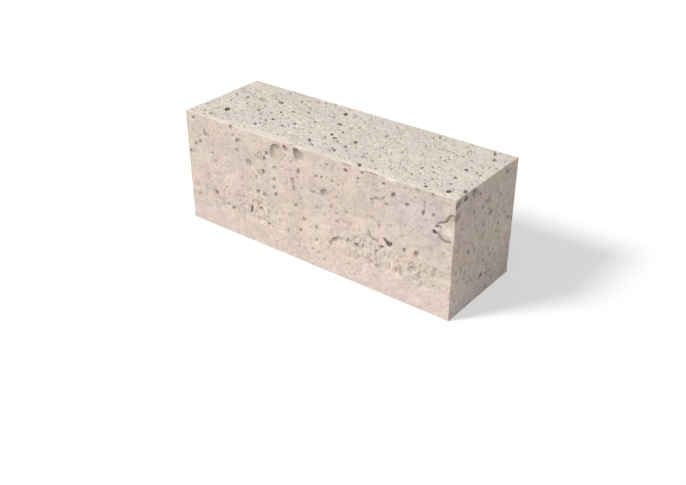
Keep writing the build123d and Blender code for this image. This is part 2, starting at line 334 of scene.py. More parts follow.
def fromLine(across, down, line):
    # How far each spot of a face is from a bent line.
    nearest = np.full(np.shape(across), 1e9)
    for (startU, startV), (endU, endV) in zip(line[:-1], line[1:]):
        alongU, alongV = endU - startU, endV - startV
        length = max(alongU**2 + alongV**2, 1e-9)
        share = np.clip(((across - startU) * alongU + (down - startV) * alongV) / length, 0, 1)
        gap = np.hypot(across - startU - share * alongU, down - startV - share * alongV)
        nearest = np.minimum(nearest, gap)
    return nearest


def insideLine(across, down, line):
    # Which spots lie inside a closed outline.
    inside = np.zeros(np.shape(across), bool)
    for (startU, startV), (endU, endV) in zip(line, line[1:] + line[:1]):
        if startV == endV:
            continue
        between = (startV > down) != (endV > down)
        inside ^= between & (across < startU + (down - startV) * (endU - startU) / (endV - startV))
    return inside


# The holes and marks: places in mm from a face's top left corner, seen from outside. The holes are
# across, down, long, wide, deep, turn in degrees anticlockwise, and how dark they are painted, as dirt and
# painted shade.

frontHoles = [
    (86.7, 3.5, 4.4, 2.6, 1.5, -42, 0.9), (2.1, 29.2, 2.4, 2.4, 1.0, 0, 0.6),
    (6.9, 3.5, 3.0, 1.8, 0.8, 20, 0.7), (17.6, 13.2, 3.6, 1.7, 0.9, 0, 0.7),
    (16.3, 11.2, 3.2, 1.5, 0.8, 90, 0.6), (11.6, 19.4, 2.8, 1.8, 0.8, 30, 0.7),
    (7.6, 22.3, 2.5, 2.1, 0.8, 10, 0.65), (23.9, 54.4, 3.3, 3.0, 1.2, 40, 0.72),
    (39.0, 61.0, 3.1, 2.0, 0.9, 70, 0.6), (41.0, 1.2, 3.0, 2.4, 1.0, 70, 0.8),
    (46.4, 9.6, 4.5, 2.2, 0.9, 22, 0.68), (45.6, 16.3, 2.9, 2.2, 0.8, -10, 0.56),
    (55.0, 22.3, 4.6, 3.4, 0.7, -28, 0.66), (55.5, 56.5, 5.2, 2.2, 1.2, 80, 0.8),
    (64.0, 53.1, 3.5, 2.0, 1.0, 10, 0.68), (69.0, 15.4, 2.4, 2.2, 1.0, 0, 0.72),
    (71.0, 11.2, 2.6, 2.2, 1.0, 70, 0.7), (67.4, 25.4, 3.2, 2.8, 1.2, 50, 0.8),
    (77.3, 19.5, 3.8, 2.2, 0.8, 16, 0.6), (76.9, 28.0, 2.8, 2.5, 1.0, 20, 0.65),
    (76.5, 34.1, 2.4, 2.2, 0.8, 60, 0.58), (77.9, 38.3, 2.9, 2.0, 0.9, 68, 0.6),
    (92.0, 24.2, 3.6, 3.4, 0.5, 60, 0.69), (93.0, 28.9, 3.6, 2.6, 0.8, 80, 0.55),
    (97.0, 16.3, 3.6, 2.0, 1.0, 86, 0.75), (94.3, 41.0, 2.7, 2.1, 0.9, 30, 0.7),
    (101.2, 48.5, 2.7, 2.3, 1.0, 0, 0.65), (97.7, 57.5, 2.4, 1.4, 1.0, 75, 0.95),
    (117.0, 24.5, 4.6, 4.0, 1.3, 15, 0.62), (122.9, 32.0, 4.5, 2.3, 0.9, 80, 0.5),
    (124.8, 55.1, 3.9, 2.7, 1.2, 24, 0.84), (122.2, 58.3, 3.2, 2.2, 0.9, 100, 0.68),
    (127.8, 41.5, 2.6, 2.1, 0.8, 0, 0.6), (133.8, 4.6, 2.9, 1.9, 1.1, -10, 0.9),
    (134.8, 32.5, 2.6, 2.2, 0.8, 0, 0.5), (142.4, 52.4, 3.6, 2.1, 1.3, -14, 0.95),
    (159.0, 33.7, 2.6, 2.1, 0.9, 60, 0.5), (157.5, 61.8, 3.0, 1.8, 0.8, 50, 0.55),
    (161.0, 47.1, 3.1, 1.9, 1.1, 16, 0.85), (163.5, 41.5, 3.6, 2.0, 1.2, -42, 1.0),
    (165.7, 43.2, 3.8, 2.6, 1.9, -36, 1.4), (167.5, 42.7, 2.4, 1.9, 1.3, 30, 1.1),
    (168.1, 10.0, 2.7, 2.2, 1.2, 60, 0.9), (174.3, 57.4, 2.4, 1.1, 0.6, 80, 0.45),
    (177.3, 43.3, 2.8, 2.2, 1.1, 80, 0.9), (178.1, 13.2, 3.2, 2.1, 1.0, 18, 0.75),
    (185.5, 42.9, 4.0, 2.8, 1.2, 72, 0.72), (184.6, 2.0, 3.0, 2.1, 0.8, -20, 0.55),
    (182.5, 53.8, 2.6, 1.7, 1.3, 20, 0.8), (189.0, 14.8, 3.4, 1.7, 1.0, 80, 0.8),
    (195.1, 1.3, 2.3, 1.7, 0.8, 0, 0.8),
]

frontFaint = [
    (5.4, 12.8, 2.4, 1.4, 0.5, 20, 0.3), (24.7, 30.0, 2.5, 1.9, 0.7, 60, 0.5),
    (7.6, 59.8, 4.0, 1.9, 0.6, 20, 0.46), (34.4, 59.3, 3.0, 1.5, 0.7, 14, 0.6),
    (42.6, 6.8, 2.0, 1.7, 0.8, 0, 0.65), (32.0, 4.5, 2.8, 1.5, 0.5, 0, 0.35),
    (30.1, 8.1, 1.8, 1.3, 0.5, 0, 0.35), (38.0, 7.7, 1.6, 1.0, 0.4, 20, 0.3),
    (25.4, 8.6, 1.8, 1.4, 0.4, 0, 0.25), (37.5, 14.6, 2.2, 2.0, 0.4, 0, 0.25),
    (13.2, 14.2, 1.8, 1.0, 0.4, 80, 0.3), (34.4, 23.3, 2.2, 1.6, 0.5, 0, 0.3),
    (61.7, 41.3, 2.2, 2.0, 0.9, 10, 0.66), (67.4, 41.8, 2.3, 1.9, 0.9, 84, 0.6),
    (61.0, 31.0, 2.6, 1.6, 0.7, 84, 0.6), (63.5, 26.8, 2.4, 2.2, 0.8, 40, 0.45),
    (69.2, 20.6, 1.6, 1.3, 0.5, 0, 0.4), (70.6, 53.2, 3.6, 2.2, 0.7, 85, 0.46),
    (69.0, 57.6, 2.0, 1.5, 0.7, 0, 0.45), (70.4, 62.5, 2.8, 1.5, 0.8, 20, 0.6),
    (52.3, 43.5, 1.4, 1.2, 0.4, 0, 0.25), (45.8, 52.8, 2.2, 0.9, 0.5, 16, 0.45),
    (48.6, 46.8, 1.8, 1.0, 0.4, 0, 0.3), (31.0, 42.0, 2.0, 1.3, 0.4, 30, 0.25),
    (84.0, 17.0, 1.8, 1.4, 0.6, 30, 0.45), (86.8, 18.5, 2.0, 1.3, 0.6, 40, 0.45),
    (90.6, 17.4, 1.9, 1.2, 0.6, 80, 0.45), (87.8, 26.5, 3.6, 1.2, 0.6, 85, 0.45),
    (99.5, 27.4, 2.2, 1.7, 0.7, 0, 0.5), (96.6, 20.6, 2.0, 1.5, 0.7, 0, 0.5),
    (98.1, 34.8, 2.8, 1.2, 0.6, 70, 0.5), (97.2, 38.2, 2.2, 1.0, 0.5, 50, 0.4),
    (91.7, 10.9, 1.8, 1.3, 0.5, 0, 0.35), (88.6, 49.2, 2.4, 1.2, 0.5, 10, 0.35),
    (84.0, 11.6, 2.2, 1.8, 0.5, 20, 0.3), (78.2, 52.9, 2.2, 1.6, 0.5, 0, 0.3),
    (87.4, 60.8, 3.2, 1.5, 0.6, -70, 0.5), (77.0, 38.6, 1.6, 1.4, 0.5, 0, 0.3),
    (119.5, 5.1, 2.2, 1.5, 0.8, 0, 0.6), (128.5, 5.6, 1.7, 1.4, 0.6, 0, 0.5),
    (115.0, 7.3, 1.8, 1.1, 0.5, 60, 0.4), (123.4, 8.8, 2.0, 1.0, 0.5, -50, 0.35),
    (127.8, 10.6, 1.4, 1.1, 0.5, 0, 0.35), (111.3, 15.4, 2.3, 1.5, 0.8, 30, 0.6),
    (115.4, 14.8, 2.3, 1.5, 0.8, 30, 0.65), (116.6, 17.2, 2.0, 1.7, 0.5, 0, 0.3),
    (123.8, 14.8, 2.1, 1.7, 0.8, 20, 0.65), (128.3, 15.9, 1.7, 1.5, 0.6, 0, 0.45),
    (124.6, 20.9, 1.6, 0.9, 0.5, 20, 0.5), (128.3, 20.8, 1.6, 1.1, 0.6, 30, 0.5),
    (122.3, 22.7, 1.8, 1.0, 0.5, 10, 0.4), (127.2, 24.5, 1.6, 1.4, 0.6, 0, 0.5),
    (110.2, 21.9, 1.6, 1.3, 0.5, 0, 0.4), (113.2, 22.4, 1.5, 1.1, 0.5, 0, 0.35),
    (107.2, 26.9, 1.8, 1.5, 0.7, 0, 0.74), (109.5, 26.8, 1.8, 1.4, 0.7, 0, 0.76),
    (112.0, 27.1, 2.0, 1.3, 0.6, 0, 0.6), (102.8, 27.0, 2.4, 0.9, 0.4, 0, 0.35),
    (121.3, 28.6, 2.0, 1.3, 0.5, 0, 0.4), (126.3, 32.4, 1.8, 1.5, 0.6, 20, 0.45),
    (126.9, 35.5, 2.2, 1.7, 0.7, 10, 0.55), (111.3, 36.6, 2.6, 1.6, 0.7, 30, 0.5),
    (117.7, 39.7, 1.8, 1.0, 0.6, 30, 0.5), (128.0, 48.6, 2.0, 1.0, 0.5, 0, 0.35),
    (110.8, 51.2, 3.2, 1.6, 0.7, 84, 0.6), (110.8, 60.2, 2.3, 1.8, 0.7, 30, 0.58),
    (112.4, 68.9, 2.4, 1.3, 0.6, 20, 0.58), (117.2, 71.8, 2.4, 1.8, 0.6, 80, 0.5),
    (104.0, 73.0, 1.8, 1.2, 0.4, 0, 0.3), (108.0, 67.2, 1.9, 1.4, 0.5, 30, 0.35),
    (101.5, 68.9, 1.6, 0.9, 0.5, 0, 0.4), (120.4, 61.8, 1.4, 0.9, 0.5, 0, 0.5),
    (135.5, 51.4, 3.0, 1.6, 0.8, 75, 0.6), (138.0, 11.6, 1.6, 1.3, 0.4, 0, 0.3),
    (139.6, 69.9, 1.8, 1.2, 0.5, 60, 0.45), (142.9, 7.2, 1.9, 1.2, 0.7, 60, 0.6),
    (142.6, 9.8, 1.9, 1.3, 0.6, 0, 0.5), (146.0, 2.5, 2.3, 1.8, 0.9, 0, 0.8),
    (161.3, 5.0, 2.4, 1.5, 1.0, -10, 0.9), (157.0, 10.9, 3.4, 1.4, 0.5, 0, 0.4),
    (150.0, 10.6, 1.4, 1.1, 0.5, 0, 0.4), (164.0, 17.5, 2.3, 2.0, 0.9, 30, 0.65),
    (163.9, 11.8, 1.6, 1.2, 0.4, 0, 0.35), (176.6, 3.2, 1.7, 1.3, 0.6, 30, 0.4),
    (183.3, 6.8, 1.8, 1.1, 0.6, 40, 0.45), (180.7, 9.3, 1.5, 0.9, 0.5, 10, 0.4),
    (194.0, 7.5, 1.5, 1.3, 0.6, 0, 0.5), (196.0, 14.0, 2.2, 1.7, 0.8, 70, 0.6),
    (191.2, 18.5, 1.8, 1.2, 0.6, 20, 0.5), (184.5, 17.6, 1.4, 1.1, 0.4, 0, 0.35),
    (185.2, 24.6, 1.6, 1.0, 0.5, 50, 0.45), (188.3, 24.5, 1.6, 1.0, 0.5, 50, 0.45),
    (177.3, 26.6, 2.2, 1.6, 0.5, 20, 0.35), (181.4, 29.6, 1.8, 1.0, 0.6, 10, 0.5),
    (175.3, 34.6, 2.6, 2.2, 0.4, 0, 0.25), (195.0, 34.8, 1.6, 1.4, 0.5, 0, 0.35),
    (204.3, 36.2, 2.2, 2.0, 0.5, 0, 0.3), (201.2, 31.8, 1.5, 1.2, 0.5, 70, 0.35),
    (207.3, 32.8, 1.8, 1.1, 0.5, 20, 0.4), (144.4, 41.4, 1.9, 1.5, 0.6, 20, 0.45),
    (157.2, 51.4, 2.1, 1.8, 0.8, 10, 0.7), (147.0, 51.6, 2.2, 1.5, 0.7, 80, 0.5),
    (153.3, 60.2, 2.2, 1.6, 0.9, 10, 0.7), (187.4, 58.5, 2.8, 1.6, 0.7, 80, 0.5),
    (189.0, 63.2, 2.2, 1.7, 0.8, 80, 0.55), (188.6, 54.5, 3.4, 1.2, 0.5, 80, 0.4),
    (197.4, 53.6, 2.8, 1.3, 0.7, 85, 0.5), (199.5, 48.2, 2.6, 1.4, 0.6, 10, 0.5),
    (205.4, 61.5, 2.2, 1.3, 0.5, -60, 0.4), (208.0, 43.5, 1.8, 1.3, 0.5, 80, 0.35),
    (169.8, 50.5, 1.6, 1.0, 0.6, 80, 0.45), (152.9, 48.0, 1.7, 1.4, 0.4, 0, 0.3),
    (181.5, 62.5, 2.0, 1.1, 0.5, 60, 0.35), (204.4, 55.9, 1.6, 0.8, 0.4, 30, 0.3),
    (154.0, 72.9, 2.0, 1.0, 0.4, 40, 0.25), (3.8, 39.0, 2.4, 1.8, 0.4, 0, 0.3),
    (13.0, 58.0, 1.6, 1.2, 0.3, 0, 0.2),
]

topHoles = [
    (20.4, 51.2, 5.3, 4.4, 2.8, -66, 1.0), (41.4, 20.6, 4.4, 3.2, 1.4, -36, 1.0),
    (39.0, 19.5, 2.4, 1.9, 0.7, -20, 0.6), (16.8, 27.4, 3.2, 2.5, 1.2, -84, 0.85),
    (28.0, 23.8, 6.4, 6.0, 0.9, -20, 0.4), (51.8, 58.0, 3.4, 2.4, 1.0, -60, 0.75),
    (52.4, 33.4, 3.6, 2.0, 1.0, -50, 0.8), (55.9, 45.4, 3.1, 2.2, 1.0, -60, 0.8),
    (67.4, 49.9, 2.9, 2.3, 1.1, -50, 0.85), (72.1, 42.5, 3.2, 2.3, 1.1, -60, 0.8),
    (58.4, 27.8, 2.9, 2.3, 1.0, -60, 0.75), (67.4, 23.0, 3.4, 1.6, 0.9, -55, 0.75),
    (88.0, 9.9, 4.2, 3.2, 1.9, -62, 1.0), (95.5, 25.4, 3.5, 2.9, 1.6, -30, 0.95),
    (95.6, 56.3, 4.8, 1.8, 1.1, -50, 0.85), (101.0, 60.4, 4.0, 1.6, 0.9, -40, 0.75),
    (101.2, 41.2, 3.3, 2.4, 1.4, -60, 0.9), (106.2, 44.4, 2.8, 3.3, 1.6, -24, 1.0),
    (104.8, 34.5, 3.6, 1.6, 0.9, -50, 0.7), (116.9, 58.9, 3.2, 2.0, 1.2, -48, 1.0),
    (114.4, 57.0, 3.4, 1.7, 0.8, -46, 0.6), (120.1, 41.6, 3.6, 2.8, 1.5, -75, 0.95),
    (119.3, 50.6, 3.1, 2.3, 1.1, -70, 0.85), (136.6, 55.4, 3.0, 2.2, 0.8, 0, 0.6),
    (141.3, 65.8, 3.7, 2.3, 1.4, -60, 0.95), (157.3, 3.5, 3.6, 2.1, 0.9, -60, 0.68),
    (172.2, 57.0, 3.8, 1.8, 0.8, -35, 0.65), (172.5, 46.6, 3.8, 2.1, 0.8, -80, 0.55),
    (181.2, 47.4, 2.7, 2.2, 0.8, -50, 0.65), (187.2, 65.2, 2.9, 1.9, 1.2, -60, 0.95),
    (194.3, 33.2, 3.3, 2.4, 1.3, -60, 0.9), (194.5, 45.7, 3.2, 2.1, 1.0, -60, 0.8),
    (196.2, 3.8, 5.5, 2.0, 0.9, -58, 0.75), (200.3, 11.7, 3.7, 2.4, 1.0, -68, 0.72),
    (200.8, 62.5, 3.9, 3.3, 2.2, 88, 1.0), (208.2, 56.7, 3.8, 3.4, 1.3, -70, 0.8),
]

topFaint = [
    (6.9, 27.2, 2.9, 2.5, 0.8, -50, 0.55), (38.0, 39.0, 4.4, 3.4, 0.9, -70, 0.48),
    (17.4, 62.8, 3.2, 3.0, 0.8, -80, 0.46), (80.5, 32.0, 3.0, 2.4, 0.7, -60, 0.5),
    (105.0, 26.0, 2.9, 2.0, 0.8, -80, 0.55), (108.0, 54.8, 2.0, 1.7, 0.8, 0, 0.75),
    (91.4, 68.6, 2.0, 1.6, 0.7, 0, 0.6), (195.0, 28.7, 1.9, 1.7, 0.8, 0, 0.65),
    (201.5, 32.8, 2.5, 2.0, 0.8, -60, 0.6), (204.3, 35.2, 2.2, 1.6, 0.7, -60, 0.5),
    (196.7, 53.9, 3.0, 1.2, 0.7, -65, 0.6), (176.0, 18.0, 2.2, 1.9, 0.7, 0, 0.5),
    (179.8, 19.8, 2.6, 1.6, 0.7, -60, 0.5), (157.6, 19.7, 3.4, 1.5, 0.7, -60, 0.55),
    (173.2, 28.0, 4.4, 1.6, 0.6, -65, 0.4), (34.2, 17.2, 2.8, 2.0, 0.7, -60, 0.5),
    (31.0, 8.6, 2.8, 1.7, 0.6, -55, 0.45), (66.3, 3.3, 2.8, 1.9, 0.8, -60, 0.6),
    (61.2, 4.4, 3.2, 1.8, 0.8, -60, 0.6), (73.0, 1.6, 2.8, 1.8, 0.8, -60, 0.7),
    (51.7, 11.8, 3.0, 1.8, 0.7, -55, 0.5), (63.5, 16.6, 3.0, 1.4, 0.6, -55, 0.45),
    (109.0, 22.0, 4.2, 1.9, 0.7, -60, 0.4), (130.0, 22.0, 3.4, 2.1, 0.8, -80, 0.5),
    (96.0, 9.0, 2.6, 2.0, 0.7, -50, 0.45), (123.4, 62.2, 2.0, 1.5, 0.7, 0, 0.5),
    (123.2, 54.6, 2.2, 1.6, 0.7, -60, 0.5), (143.9, 56.7, 2.2, 1.6, 0.7, -60, 0.55),
    (151.7, 63.8, 2.2, 1.8, 0.8, -40, 0.65), (147.4, 64.3, 2.0, 1.7, 0.7, 0, 0.55),
    (114.4, 60.0, 3.8, 4.2, 0.6, -60, 0.3), (12.8, 69.0, 1.6, 1.1, 0.5, 0, 0.4),
    (18.6, 68.7, 2.4, 1.2, 0.5, -20, 0.45), (29.5, 68.9, 1.8, 1.1, 0.5, 0, 0.35),
    (164.0, 53.1, 2.8, 2.0, 0.7, 0, 0.5), (37.0, 31.6, 2.8, 1.6, 0.7, -55, 0.5),
    (44.0, 44.0, 2.5, 2.0, 0.7, -50, 0.5), (48.3, 38.2, 4.0, 2.6, 0.7, -50, 0.35),
    (23.6, 35.0, 4.6, 1.8, 0.7, -55, 0.4), (11.8, 38.0, 4.0, 1.8, 0.7, -55, 0.4),
    (54.2, 50.2, 2.4, 1.7, 0.7, -50, 0.5), (49.2, 49.8, 2.4, 1.6, 0.7, -50, 0.45),
    (46.5, 59.2, 2.0, 1.6, 0.6, 0, 0.4), (45.6, 66.7, 1.8, 1.5, 0.6, 0, 0.5),
    (14.8, 66.6, 2.4, 1.8, 0.7, -50, 0.5), (100.6, 47.0, 4.4, 1.4, 0.7, -60, 0.5),
    (110.3, 47.2, 2.2, 1.7, 0.7, -50, 0.5), (84.0, 41.0, 2.0, 1.6, 0.6, 0, 0.45),
    (89.0, 47.4, 2.4, 1.6, 0.6, -50, 0.45), (127.6, 7.2, 3.2, 1.5, 0.7, -60, 0.5),
    (154.8, 7.4, 3.0, 1.8, 0.7, -60, 0.5), (190.4, 20.4, 2.0, 1.2, 0.7, -60, 0.6),
    (201.2, 58.6, 2.6, 1.3, 0.7, -60, 0.55), (207.3, 51.8, 2.2, 1.8, 0.7, -50, 0.5),
    (151.3, 35.8, 2.4, 1.8, 0.7, -60, 0.45), (153.4, 51.2, 2.2, 1.7, 0.7, -60, 0.5),
    (159.4, 58.8, 2.2, 1.6, 0.7, -40, 0.5), (162.2, 31.2, 2.6, 1.7, 0.7, -60, 0.45),
]

rightEndHoles = [
    (3.0, 3.7, 5.6, 2.8, 1.2, 34, 0.75), (11.0, 3.4, 4.4, 2.8, 1.6, -20, 1.0),
    (57.5, 4.3, 3.5, 2.4, 1.1, -20, 0.7), (21.3, 16.0, 3.0, 2.4, 0.9, -70, 0.5),
    (23.5, 27.0, 3.0, 2.4, 0.9, -60, 0.5), (41.2, 24.5, 4.2, 2.6, 1.2, 12, 0.8),
    (58.5, 32.0, 3.0, 2.0, 0.8, -30, 0.5), (18.3, 40.8, 3.0, 2.4, 1.1, -60, 0.8),
    (68.0, 40.5, 2.6, 2.0, 0.9, -60, 0.6), (35.0, 49.0, 3.6, 2.4, 0.9, 20, 0.5),
    (45.0, 55.0, 3.1, 2.7, 0.9, -50, 0.5), (35.5, 65.2, 4.0, 2.2, 1.1, -30, 0.85),
    (41.0, 67.0, 3.1, 2.0, 0.8, -30, 0.5),
]

rightEndFaint = [
    (8.8, 21.2, 2.6, 2.2, 0.7, -40, 0.45), (33.0, 27.0, 5.0, 2.2, 0.6, -14, 0.35),
    (35.5, 15.0, 4.0, 1.8, 0.6, -70, 0.4), (40.0, 15.5, 4.6, 1.7, 0.6, -64, 0.35),
    (24.5, 42.0, 3.0, 1.9, 0.7, -60, 0.5), (5.0, 49.8, 2.6, 1.8, 0.7, -60, 0.5),
    (11.5, 49.0, 2.2, 1.8, 0.6, 0, 0.45), (31.0, 54.5, 3.0, 2.6, 0.5, -60, 0.35),
    (33.0, 66.5, 3.0, 1.8, 0.7, -10, 0.5), (18.7, 62.0, 3.4, 1.7, 0.7, -70, 0.5),
    (47.0, 32.0, 4.8, 2.4, 0.5, -80, 0.35), (51.5, 36.3, 3.0, 1.9, 0.7, -50, 0.5),
    (35.0, 36.0, 3.0, 2.6, 0.5, 0, 0.3), (28.0, 9.0, 2.2, 1.6, 0.5, -60, 0.4),
    (48.0, 12.0, 2.2, 1.5, 0.5, -35, 0.4), (62.0, 17.0, 2.2, 1.6, 0.5, -60, 0.4),
    (14.0, 33.0, 2.0, 1.6, 0.5, -60, 0.4), (62.0, 52.0, 2.0, 1.6, 0.5, -60, 0.35),
    (40.8, 60.2, 4.4, 1.8, 0.6, -40, 0.45), (42.4, 50.2, 4.0, 1.8, 0.6, -60, 0.35),
    (47.9, 14.2, 4.0, 1.4, 0.6, -35, 0.45),
]

# Thin marks: the points of a bent line, its width and depth, and how dark it is painted, as dirt and painted
# shade.
frontGrooves = [
    ([(153.6, 20.6), (153.4, 17.8), (156.5, 16.2), (160.0, 16.0), (161.8, 13.4)], 2.4, 0.36, 0.54),
    ([(154.6, 16.8), (157.2, 16.2)], 2.5, 0.28, 0.41),
    ([(151.6, 39.8), (152.2, 42.2), (154.4, 43.6), (157.8, 43.9)], 2.4, 0.5, 0.84),
    ([(149.0, 31.8), (150.4, 29.6), (155.0, 29.8), (158.0, 31.6), (159.0, 33.6)], 2.5, 0.34, 0.44),
    ([(189.9, 6.5), (190.0, 10.0), (189.8, 13.6)], 1.6, 0.35, 0.54),
    ([(61.4, 15.9), (62.9, 17.2), (65.4, 16.9), (65.9, 15.2)], 1.1, 0.35, 0.61),
    ([(63.7, 14.1), (64.4, 12.4), (66.0, 12.5), (66.4, 14.3), (65.2, 15.4)], 1.1, 0.35, 0.61),
    ([(61.2, 50.9), (63.4, 49.3), (66.4, 50.2)], 2.4, 0.36, 0.5),
    ([(123.8, 55.4), (126.6, 53.4), (130.6, 52.6)], 2.8, 0.42, 0.68),
    ([(148.6, 0.5), (152.6, 0.8), (156.6, 0.7)], 1.7, 0.25, 0.75),
    ([(131.6, 0.3), (136.6, 0.4)], 1.5, 0.2, 0.8),
    ([(181.2, 51.4), (182.4, 50.0), (184.6, 50.2), (185.2, 52.2), (184.0, 54.2)], 1.4, 0.39, 0.61),
    ([(173.5, 56.0), (174.5, 55.1), (175.6, 56.2), (175.5, 58.6), (174.6, 59.4)], 1.1, 0.35, 0.68),
    ([(59.8, 7.8), (61.0, 5.8), (63.0, 5.6)], 1.1, 0.21, 0.27),
    ([(126.0, 2.6), (124.4, 5.2), (123.6, 7.6)], 1.1, 0.21, 0.41),
]


holes = {
    "steep": 0.6,  # 0.5 gives a round bowl with an upright rim
    "steepSides": 0.85,
    "steepFaint": 1.0,  # a shallow dish, for the faint ones
    "faintBelow": 0.45,
    "ragged": 0.14,  # how far an outline strays, as a share of the hole's width
    "fineStray": 1.5,  # mm over which it strays, and the same for the wide ones
    "wideStray": 4.5,
    "fineShare": 0.7,
    "fineOnWide": 0.4,
    "wideFrom": 4.0,
    "roughFloor": 0.28,
    "roughSize": 0.9,
    "darkTo": 0.4,  # the dirt and painted shade in a hole are full from this share of its depth
    "grooveReach": 0.7,  # how far a groove reaches to each side, as a share of its width
    "washedLong": 1.18,  # the wash drew out the holes of the top
    "washedWide": 0.9,
    "wornSides": 1.26,  # the holes in the formed sides have soft, worn mouths
    "dishBelow": 0.58,  # and those less dark than this are shallow
    "dishDeep": 0.55,
}
overArris = {
    # Where a mark runs over an arris, its points move in on the slant, in mm
    "step": 0.05,
    "steps": 70,
    "clear": 0.02,  # this near to the mark's floor is near enough
    "darkBelow": 0.5,  # and points this far below it still keep the hole's dirt and painted shade
    "around": 1.0,
}
# How strongly each face's holes are painted dark, as dirt and painted shade
shades = {"top": 0.85, "front": 0.58, "rightEnd": 0.68, "back": 0.56, "leftEnd": 0.6, "bed": 0.55}


class Block:
    # The points of the surface, and how dark each of them is painted: dirt and painted shade of the hole it
    # lies in.
    def __init__(self, points, faces):
        self.points = points
        self.faces = faces
        self.dark = np.zeros(len(points), np.float32)
        fine = [softNoise(points, holes["fineStray"], 11 + axis) for axis in range(3)]
        wide = [softNoise(points, holes["wideStray"], 21 + axis) for axis in range(3)]
        self.fineStray = np.stack(fine, axis=1) * holes["fineShare"]
        self.wideStray = np.stack(wide, axis=1)
        self.floor = 1 + holes["roughFloor"] * softNoise(points, holes["roughSize"], 31)

    def strayOf(self, chosen, width):
        # How far each point strays from its place in a mark, for a ragged outline.
        stray = self.fineStray[chosen]
        if width > holes["wideFrom"]:
            stray = self.wideStray[chosen] + holes["fineOnWide"] * stray
        return stray * holes["ragged"] * width

    def carve(self, name, box, width, depthAt):
        # Presses a face in by what depthAt says for each spot of the box (left, right, upper and
        # lower). Where the box runs over an arris, the points of both faces move in on the
        # slant until they are clear of the mark, so that nothing folds over.
        face = self.faces[name]
        left, right, upper, lower = box
        gaps = (left, face.width - right, upper, face.height - lower)
        ways = (-face.across, face.across, -face.down, face.down)
        over = [way for gap, way in zip(gaps, ways) if gap < 0]
        if over:
            across, down = (left + right) / 2, (upper + lower) / 2
            reach = math.hypot(right - left, lower - upper) / 2 + overArris["around"]
            centre = face.corner + across * face.across + down * face.down
            chosen = np.nonzero(((self.points - centre)**2).sum(axis=1) < reach**2)[0]
        else:
            columns, rows = face.ids.shape
            cellU, cellV = face.width / (columns - 1), face.height / (rows - 1)
            acrossRange = slice(max(int(left / cellU) - 1, 0), int(right / cellU) + 3)
            downRange = slice(max(int(upper / cellV) - 1, 0), int(lower / cellV) + 3)
            chosen = face.ids[acrossRange, downRange].ravel()
        points = self.points[chosen]
        stray = self.strayOf(chosen, width)
        if over:
            inward = -(face.out + sum(over))
            inward = inward / np.linalg.norm(inward)
            for turn in range(overArris["steps"]):
                u, v, below = face.flat(points + stray)
                below = face.flat(points)[2]
                inside = below < depthAt(u, v)[0] - overArris["clear"]
                if not inside.any():
                    break
                points[inside] += overArris["step"] * inward
            self.points[chosen] = points
            u, v, below = face.flat(points + stray)
            depth, dark = depthAt(u, v)
            dark = dark * (below < depth + overArris["darkBelow"])
        else:
            u, v, below = face.flat(points + stray)
            depth, dark = depthAt(u, v)
            self.points[chosen] = points - (depth * self.floor[chosen])[:, None] * face.out
        # The mark's darkness, scaled for its face: dirt and painted shade
        self.dark[chosen] = np.maximum(self.dark[chosen], dark * shades[name])

    def pressSkin(self, name, margin, skinAt):
        # Presses a whole face in by what skinAt says for its points, except along its edges, and darkens them
        # by the dirt and painted shade it gives.
        face = self.faces[name]
        ids = np.unique(face.ids)
        points = self.points[ids]
        u, v, below = face.flat(points)
        depth, dirtAndPaintedShade = skinAt(points, u, v)
        inner = window(u, margin, face.width - margin, margin)
        inner = inner * window(v, margin, face.height - margin, margin)
        self.points[ids] = points - (depth * inner)[:, None] * face.out
        self.dark[ids] = np.maximum(self.dark[ids], dirtAndPaintedShade * inner)


def drillHole(block, name, row):
    across, down, long, wide, deep, turn, dark = row
    steep = holes["steep"]
    if name == "top":
        long, wide = long * holes["washedLong"], wide * holes["washedWide"]
    else:
        long, wide, steep = long * holes["wornSides"], wide * holes["wornSides"], holes["steepSides"]
        deep *= holes["dishDeep"] if dark < holes["dishBelow"] else 1.0
    if dark < holes["faintBelow"]:
        steep = holes["steepFaint"]
    cosine, sine = math.cos(math.radians(turn)), math.sin(math.radians(turn))

    def depthAt(u, v):
        alongShare = ((u - across) * cosine - (v - down) * sine) / (long / 2)
        sideShare = ((u - across) * sine + (v - down) * cosine) / (wide / 2)
        share = np.clip(1 - alongShare**2 - sideShare**2, 0, 1) ** steep
        return deep * share, dark * smooth(share / holes["darkTo"])

    stray = holes["ragged"] * wide
    reachU = math.hypot(long * cosine, wide * sine) / 2 + stray
    reachV = math.hypot(long * sine, wide * cosine) / 2 + stray
    block.carve(name, (across - reachU, across + reachU, down - reachV, down + reachV), wide, depthAt)


def cutGroove(block, name, line, width, deep, dark):
    across, down = zip(*line)
    box = (min(across) - width, max(across) + width, min(down) - width, max(down) + width)

    def depthAt(u, v):
        share = smooth(1 - fromLine(u, v, line) / (holes["grooveReach"] * width))
        return deep * share, dark * share

    block.carve(name, box, width, depthAt)
